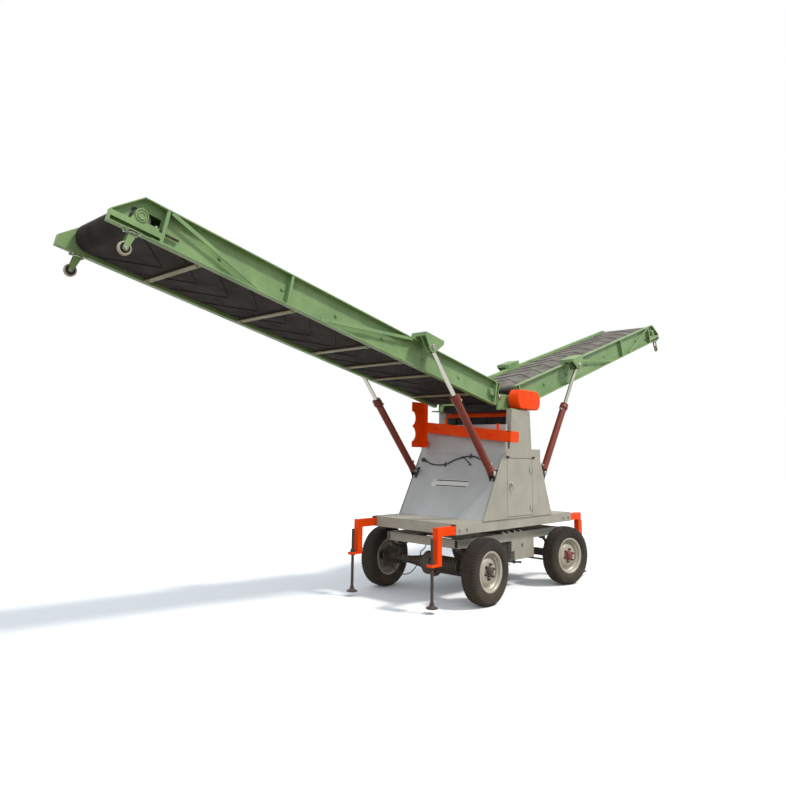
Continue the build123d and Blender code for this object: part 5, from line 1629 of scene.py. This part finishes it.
    def differential(self) -> list[Surface]:
        """Cast ribs on the axle's necks, a bolted rim round the casing and a bolted pinion flange."""
        middle = np.array([-self.half_base, 0.0, self.axle_z])
        rib = prism([(0.060, 0.0), (0.128, 0.0), (0.084, 0.064), (0.060, 0.068)], -0.006, 0.006)
        count, face = self.diff_ribs, self.cover_face
        turn = np.arange(count) * 2 * np.pi / count
        tangent = np.column_stack([-np.sin(turn), np.zeros(count), np.cos(turn)])
        root = middle + [0.0, self.diff_half - SINK, 0.0]
        parts = [copies(rib, np.repeat([root], count, 0), tangent, LEFT)]
        mirrored = parts[0].points * [1.0, -1.0, 1.0]
        parts.append(Surface(mirrored, parts[0].faces))
        rim = [(0.1340, face), (0.1480, face), (0.1480, -0.040), (0.1340, -0.036)]
        parts.append(revolved(rim, middle, LEFT, 48, True))
        x, z = circle(self.cover_circle, self.cover_bolts).T
        spots = middle + np.column_stack([x, np.full(self.cover_bolts, face), z])
        parts.append(bolts(0.013, 0.008, spots, RIGHT))
        flange = [(0.0, 0.0), (0.066, 0.0), (0.066, 0.012), (0.040, 0.014), (0.034, 0.030), (0.0, 0.030)]
        nose = middle + [self.pinion_x, 0.0, 0.0]
        parts.append(revolved(flange, nose, AHEAD, 32))
        ring = np.arange(self.pinion_bolts) * 2 * np.pi / self.pinion_bolts + 0.4
        around = self.pinion_circle * np.column_stack([np.cos(ring), np.sin(ring)])
        heads = nose + np.column_stack([np.full(self.pinion_bolts, 0.011), around])
        parts.append(bolts(0.016, 0.010, heads, AHEAD))
        return parts

    def drive_casing(self) -> list[Surface]:
        """Finned casing on the right half of the axle: radius = core + fin * clipped sine of the length."""
        along = np.linspace(0.0, self.casing_length, 61)
        wave = np.clip(0.5 + 1.6 * np.sin(2 * np.pi * along / self.fin_pitch), 0.0, 1.0)
        fins = self.casing_r + self.fin_deep * wave
        last = self.casing_length + 0.006
        section = np.vstack([[(0.0, 0.0)], np.column_stack([fins, along]), [(0.060, last), (0.0, last)]])
        return [revolved(section, (-self.half_base, -self.casing_y, self.axle_z), RIGHT, 40)]

    def axle_flare(self) -> list[Surface]:
        """Cone between the differential and the left half of the axle."""
        section = [(0.0, 0.0), (0.078, 0.0), (0.075, 0.020), (0.062, 0.090), (0.050, 0.170),
                   (0.0455, 0.220), (0.0, 0.220)]
        return [revolved(section, (-self.half_base, self.casing_y, self.axle_z), LEFT, 40)]

    def backplate(self, centre: Array, outward: Array) -> list[Surface]:
        """Pressed plate behind a brake drum: a turned section with a step, and a ring of bolts.

        Args:
            centre: point on the axle line at the drum's inner face.
            outward: direction of the wheel's outer side.

        Returns:
            The plate and its bolts.
        """
        section = [(0.046, 0.001), (0.046, -0.006), (0.060, -0.006), (0.064, -0.003), (0.104, -0.003),
                   (0.112, -0.005), (0.124, -0.004), (0.127, 0.004), (0.127, 0.014), (0.1205, 0.014),
                   (0.1205, 0.001)]
        parts = [revolved(section, centre, outward, 48, True)]
        across, up = square_axes(outward)
        turn = np.arange(8) * np.pi / 4
        round_hub = np.cos(turn)[:, None] * across + np.sin(turn)[:, None] * up
        ring = centre + 0.092 * round_hub - 0.003 * outward
        parts.append(bolts(0.012, 0.006, ring, -outward))
        return parts

    def brake_pipes(self) -> list[Surface]:
        """Thin pipes: one from the frame down to the axle, one from the axle to the left rear brake."""
        lines = (smooth_line(line, 10) for line in (self.pipe_drop, self.pipe_loop))
        return [swept(circle(self.pipe_r, 10), line, (1.0, 0.2, 0.1)) for line in lines]

    def ring_clamps(self) -> list[Surface]:
        """Clamp blocks with bolts that hold the slewing ring down on the rails."""
        long, wide, tall = self.clamp
        foot, top = self.rail_top - SINK, self.rail_top + tall
        parts = []
        for side in SIDES:
            y = side * self.clamp_y
            for x in self.clamp_x:
                parts.append(slab((x - long, y - wide, foot), (x + long, y + wide, top)))
            tops = [(x, y, top) for x in self.clamp_x]
            parts.append(bolts(0.022, 0.014, tops, UP))
        return parts

    def box_lever(self) -> list[Surface]:
        """Hand lever under the equipment box on its pivot plate, with a round grip."""
        grip = turned([(0.0, 0.0), (0.012, 0.004), (0.015, 0.018), (0.013, 0.040), (0.0, 0.046)], 16)
        start, end = np.array(self.lever)
        return [bar(start, end, 0.012, 0.022, 0.003), copies(grip, end, unit(end - start)),
                slab(*self.lever_plate), bolts(0.020, 0.010, self.lever_pivot, RIGHT)]

    def flap(self) -> list[Surface]:
        """Rubber flap under a bolted strip: a wavy sheet with y = middle + wave * sine of x."""
        x, half = np.linspace(*self.flap_x, 19), self.flap_thick / 2
        wave = self.flap_y + self.flap_swing * np.sin((x - self.flap_x[0]) * self.flap_waves)
        outline = np.vstack([np.column_stack([x, wave - half]), np.column_stack([x, wave + half])[::-1]])
        strip = slab(*self.flap_strip, 0.001)
        return [prism(outline, *self.flap_z), strip, bolts(0.013, 0.007, self.flap_bolts, RIGHT)]

    def build(self, shop: Workshop) -> None:
        """Make the undercarriage's pieces."""
        body = "undercarriage"
        shop.piece("leaf_packs", self.leaf_packs(), Coat.BLACK, body, ["leaf_springs"])
        shop.piece("spring_hangers", self.hangers(), Coat.BLACK, body)
        shop.piece("spring_u_bolts", self.u_bolts(), Coat.RUSTY, body)
        shop.piece("differential_casting", self.differential(), Coat.BLACK, body)
        shop.piece("drive_casing", self.drive_casing(), Coat.BLACK, body)
        shop.piece("axle_flare", self.axle_flare(), Coat.RUSTY, body)
        for side, way in zip(HANDS, SIDES):
            out = np.array(sideways(way))
            plate = self.backplate(np.array([-self.half_base, way * self.drum_in, self.axle_z]), out)
            shop.piece(f"brake_plate_rear_{side}", plate, Coat.BLACK, body)
            kingpin = self.joints.at(f"steer_{side}")
            steered = way * self.joints.along(f"wheel_front_{side}_spin")
            plate = self.backplate(kingpin + (self.drum_in - way * kingpin[1]) * steered, steered)
            shop.piece(f"brake_plate_front_{side}", plate, Coat.BLACK, f"knuckle_{side}")
        shop.piece("brake_pipes", self.brake_pipes(), Coat.HOSE, body)
        shop.piece("ring_clamps", self.ring_clamps(), Coat.ZINC, body)
        shop.piece("box_lever", self.box_lever(), Coat.RUSTY, body)
        shop.piece("rail_flap", self.flap(), Coat.HOSE, body)


# Scene round the machine

@dataclass
class Studio:
    """Pale floor, soft light and the camera."""

    eye: Point = (-7.550, -5.165, 1.674)
    yaw: float = 46.45
    pitch: float = 8.54
    roll: float = 1.06
    focal: float = 671.8
    middle: Pair = (369.2, 350.6)
    to_sun: Point = (0.30, -0.52, 0.80)
    sun_strength: float = 2.9
    sun_spread: float = 9.0
    sun_colour: Rgb = (1.0, 0.965, 0.91)
    sky: float = 0.80
    sky_light: Rgba = (0.86, 0.93, 1.0, 1.0)
    sky_seen: Rgba = (1.0, 1.0, 1.0, 1.0)
    to_fill: Point = (-0.86, -0.22, 0.46)
    fill_strength: float = 0.95
    fill_spread: float = 70.0
    fill_colour: Rgb = (0.90, 0.95, 1.0)
    floor_half: float = 60.0
    floor_light: Rgba = (0.24, 0.20, 0.15, 1.0)
    floor_seen: Rgba = (0.90, 0.90, 0.90, 1.0)

    def camera(self) -> None:
        """Put the camera where the fitted view has it."""
        yaw, pitch, roll = (math.radians(v) for v in (self.yaw, self.pitch, self.roll))
        ahead = Vector((math.sin(yaw) * math.cos(pitch), math.cos(yaw) * math.cos(pitch), math.sin(pitch)))
        right = Vector((math.cos(yaw), -math.sin(yaw), 0.0))
        up = right.cross(ahead)
        rightward = math.cos(roll) * right + math.sin(roll) * up
        top = -math.sin(roll) * right + math.cos(roll) * up
        data = bpy.data.cameras.new("view")
        camera = bpy.data.objects.new("view", data)
        bpy.context.scene.collection.objects.link(camera)
        turn = Matrix((rightward, top, -ahead)).transposed().to_4x4()
        camera.matrix_world = Matrix.Translation(self.eye) @ turn
        long_side = max(IMAGE)
        data.sensor_width = 36.0
        data.lens = self.focal * data.sensor_width / long_side
        data.shift_x = (IMAGE[0] / 2 - self.middle[0]) / long_side
        data.shift_y = (self.middle[1] - IMAGE[1] / 2) / long_side
        data.clip_start, data.clip_end = 0.05, 200.0
        bpy.context.scene.camera = camera

    def floor(self) -> None:
        """Wide pale floor that takes the shadow; only the view sees it at its full paleness."""
        mesh = bpy.data.meshes.new("studio_floor")
        half = self.floor_half
        corners = [(-half, -half, 0.0), (half, -half, 0.0), (half, half, 0.0), (-half, half, 0.0)]
        mesh.from_pydata(corners, [], [(0, 1, 2, 3)])
        floor = bpy.data.objects.new("studio_floor", mesh)
        bpy.context.scene.collection.objects.link(floor)
        material = bpy.data.materials.new("pale_floor")
        material.use_nodes = True
        g = Graph(material.node_tree)
        shader = material.node_tree.nodes["Principled BSDF"]
        path = g.add("LightPath")
        seen = g.calc("ADD", path.outputs["Is Camera Ray"], path.outputs["Is Glossy Ray"], clamp=True)
        g.feed(shader.inputs["Base Color"], g.blend(seen, self.floor_light, self.floor_seen))
        shader.inputs["Roughness"].default_value = 0.9
        shader.inputs["Specular IOR Level"].default_value = 0.1
        mesh.materials.append(material)

    @staticmethod
    def lamp(name: str, toward: Point, strength: float, spread: float, colour: Rgb) -> None:
        """Add a distant lamp.

        Args:
            name: lamp's name.
            toward: direction from the machine to the lamp.
            strength: light on a face square to it.
            spread: its size in the sky in degrees.
            colour: its colour.
        """
        data = bpy.data.lights.new(name, "SUN")
        data.energy, data.angle, data.color = strength, math.radians(spread), colour
        thing = bpy.data.objects.new(name, data)
        thing.rotation_euler = Vector(toward).to_track_quat("Z", "Y").to_euler()
        bpy.context.scene.collection.objects.link(thing)

    def light(self) -> None:
        """Soft sun from the front right, a weak fill from the rear and a pale sky seen as white."""
        self.lamp("soft_sun", self.to_sun, self.sun_strength, self.sun_spread, self.sun_colour)
        self.lamp("soft_fill", self.to_fill, self.fill_strength, self.fill_spread, self.fill_colour)
        world = bpy.data.worlds.new("pale_sky")
        bpy.context.scene.world = world
        world.use_nodes = True
        g = Graph(world.node_tree)
        back = world.node_tree.nodes["Background"]
        path = g.add("LightPath")
        seen = g.calc("ADD", path.outputs["Is Camera Ray"], path.outputs["Is Glossy Ray"])
        seen = g.calc("ADD", seen, path.outputs["Is Transmission Ray"], clamp=True)
        g.feed(back.inputs["Color"], g.blend(seen, self.sky_light, self.sky_seen))
        g.feed(back.inputs["Strength"], g.spread(seen, 0.0, 1.0, (self.sky, 1.0)))

    def build(self) -> None:
        """Set up the whole scene."""
        bpy.context.scene.view_settings.view_transform = "Standard"
        self.camera()
        self.floor()
        self.light()


NODE_COATS = {
    Coat.GREY: ("lower_frame", "equipment_box", "deck_frame", "tower_side_right", "tower_side_left",
                "tower_front", "door"),
    # the rear wall takes the lighter grey as painted sky light
    Coat.WALL: ("tower_rear",),
    Coat.RUSTY: ("slew_ring_lower", "leaf_springs", "leg_front_right", "leg_front_left", "leg_rear_right",
                 "leg_rear_left"),
    Coat.BLACK: ("drive_axle", "front_axle", "knuckle_right", "knuckle_left", "tie_rod", "cylinder_feet"),
    Coat.HOSE: ("rear_hose",),
    Coat.ORANGE: ("outriggers", "cross_beam", "scalloped_bracket", "drive_cover"),
    Coat.UNIT: ("power_unit",),
    Coat.GREEN: ("hinge_brackets", *(f"{end}_{part}" for end in ENDS for part in (
        "girder_left", "girder_right", "bed", "caster_fork_left", "caster_fork_right"))),
    # cross members tinted tan as painted light bounced from the ground
    Coat.BRACE: ("rear_cross_members", "front_cross_members"),
    Coat.BELT: ("rear_belt", "front_belt"),
    Coat.STEEL: ("rear_drums", "front_drums"),
    Coat.OXIDE: ("rear_barrels", "front_barrels"),
    Coat.CHROME: ("rear_rods", "front_rods"),
    Coat.CASTER: tuple(f"{end}_caster_wheel_{side}" for end in ENDS for side in HANDS),
}


def road_wheels(joints: Joints) -> list[RoadWheel]:
    """The four road wheels, each on its own joint's line."""
    wheels = []
    for side, way in zip(HANDS, SIDES):
        for end, hub in zip(ENDS, (Coat.BLACK, Coat.HUB_RED)):
            spin = f"wheel_{end}_{side}_spin"
            wheels.append(RoadWheel(end, side, joints.at(spin), way * joints.along(spin), hub))
    return wheels


def main() -> None:
    """Load the frame, dress its nodes and build every piece in order."""
    logging.basicConfig(level=logging.INFO, format="%(name)s: %(message)s")
    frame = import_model()
    shop, joints = Workshop(frame["nodes"]), Joints(frame["joints"])
    Studio().build()
    for coat, nodes in NODE_COATS.items():
        for node in nodes:
            shop.dress(node, coat)
    for wheel in road_wheels(joints):
        wheel.build(shop)
    Undercarriage(joints).build(shop)
    for end in ENDS:
        for side in HANDS:
            ScrewLeg(end, side).build(shop)
    Tower(joints.at("front_wing_hinge")).build(shop)
    for end, way, wall in zip(ENDS, SIDES, (REAR_WALL, FRONT_WALL)):
        wing = Wing(end, way, joints.at(f"{end}_wing_hinge"), joints.along(f"{end}_caster_left_swivel"))
        wing.build(shop)
        LiftCylinders(wing, joints.at(f"{end}_barrels_pivot"), *wall).build(shop)
        for side in HANDS:
            Caster(wing, side).build(shop)
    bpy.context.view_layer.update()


if __name__ == "__main__":
    main()
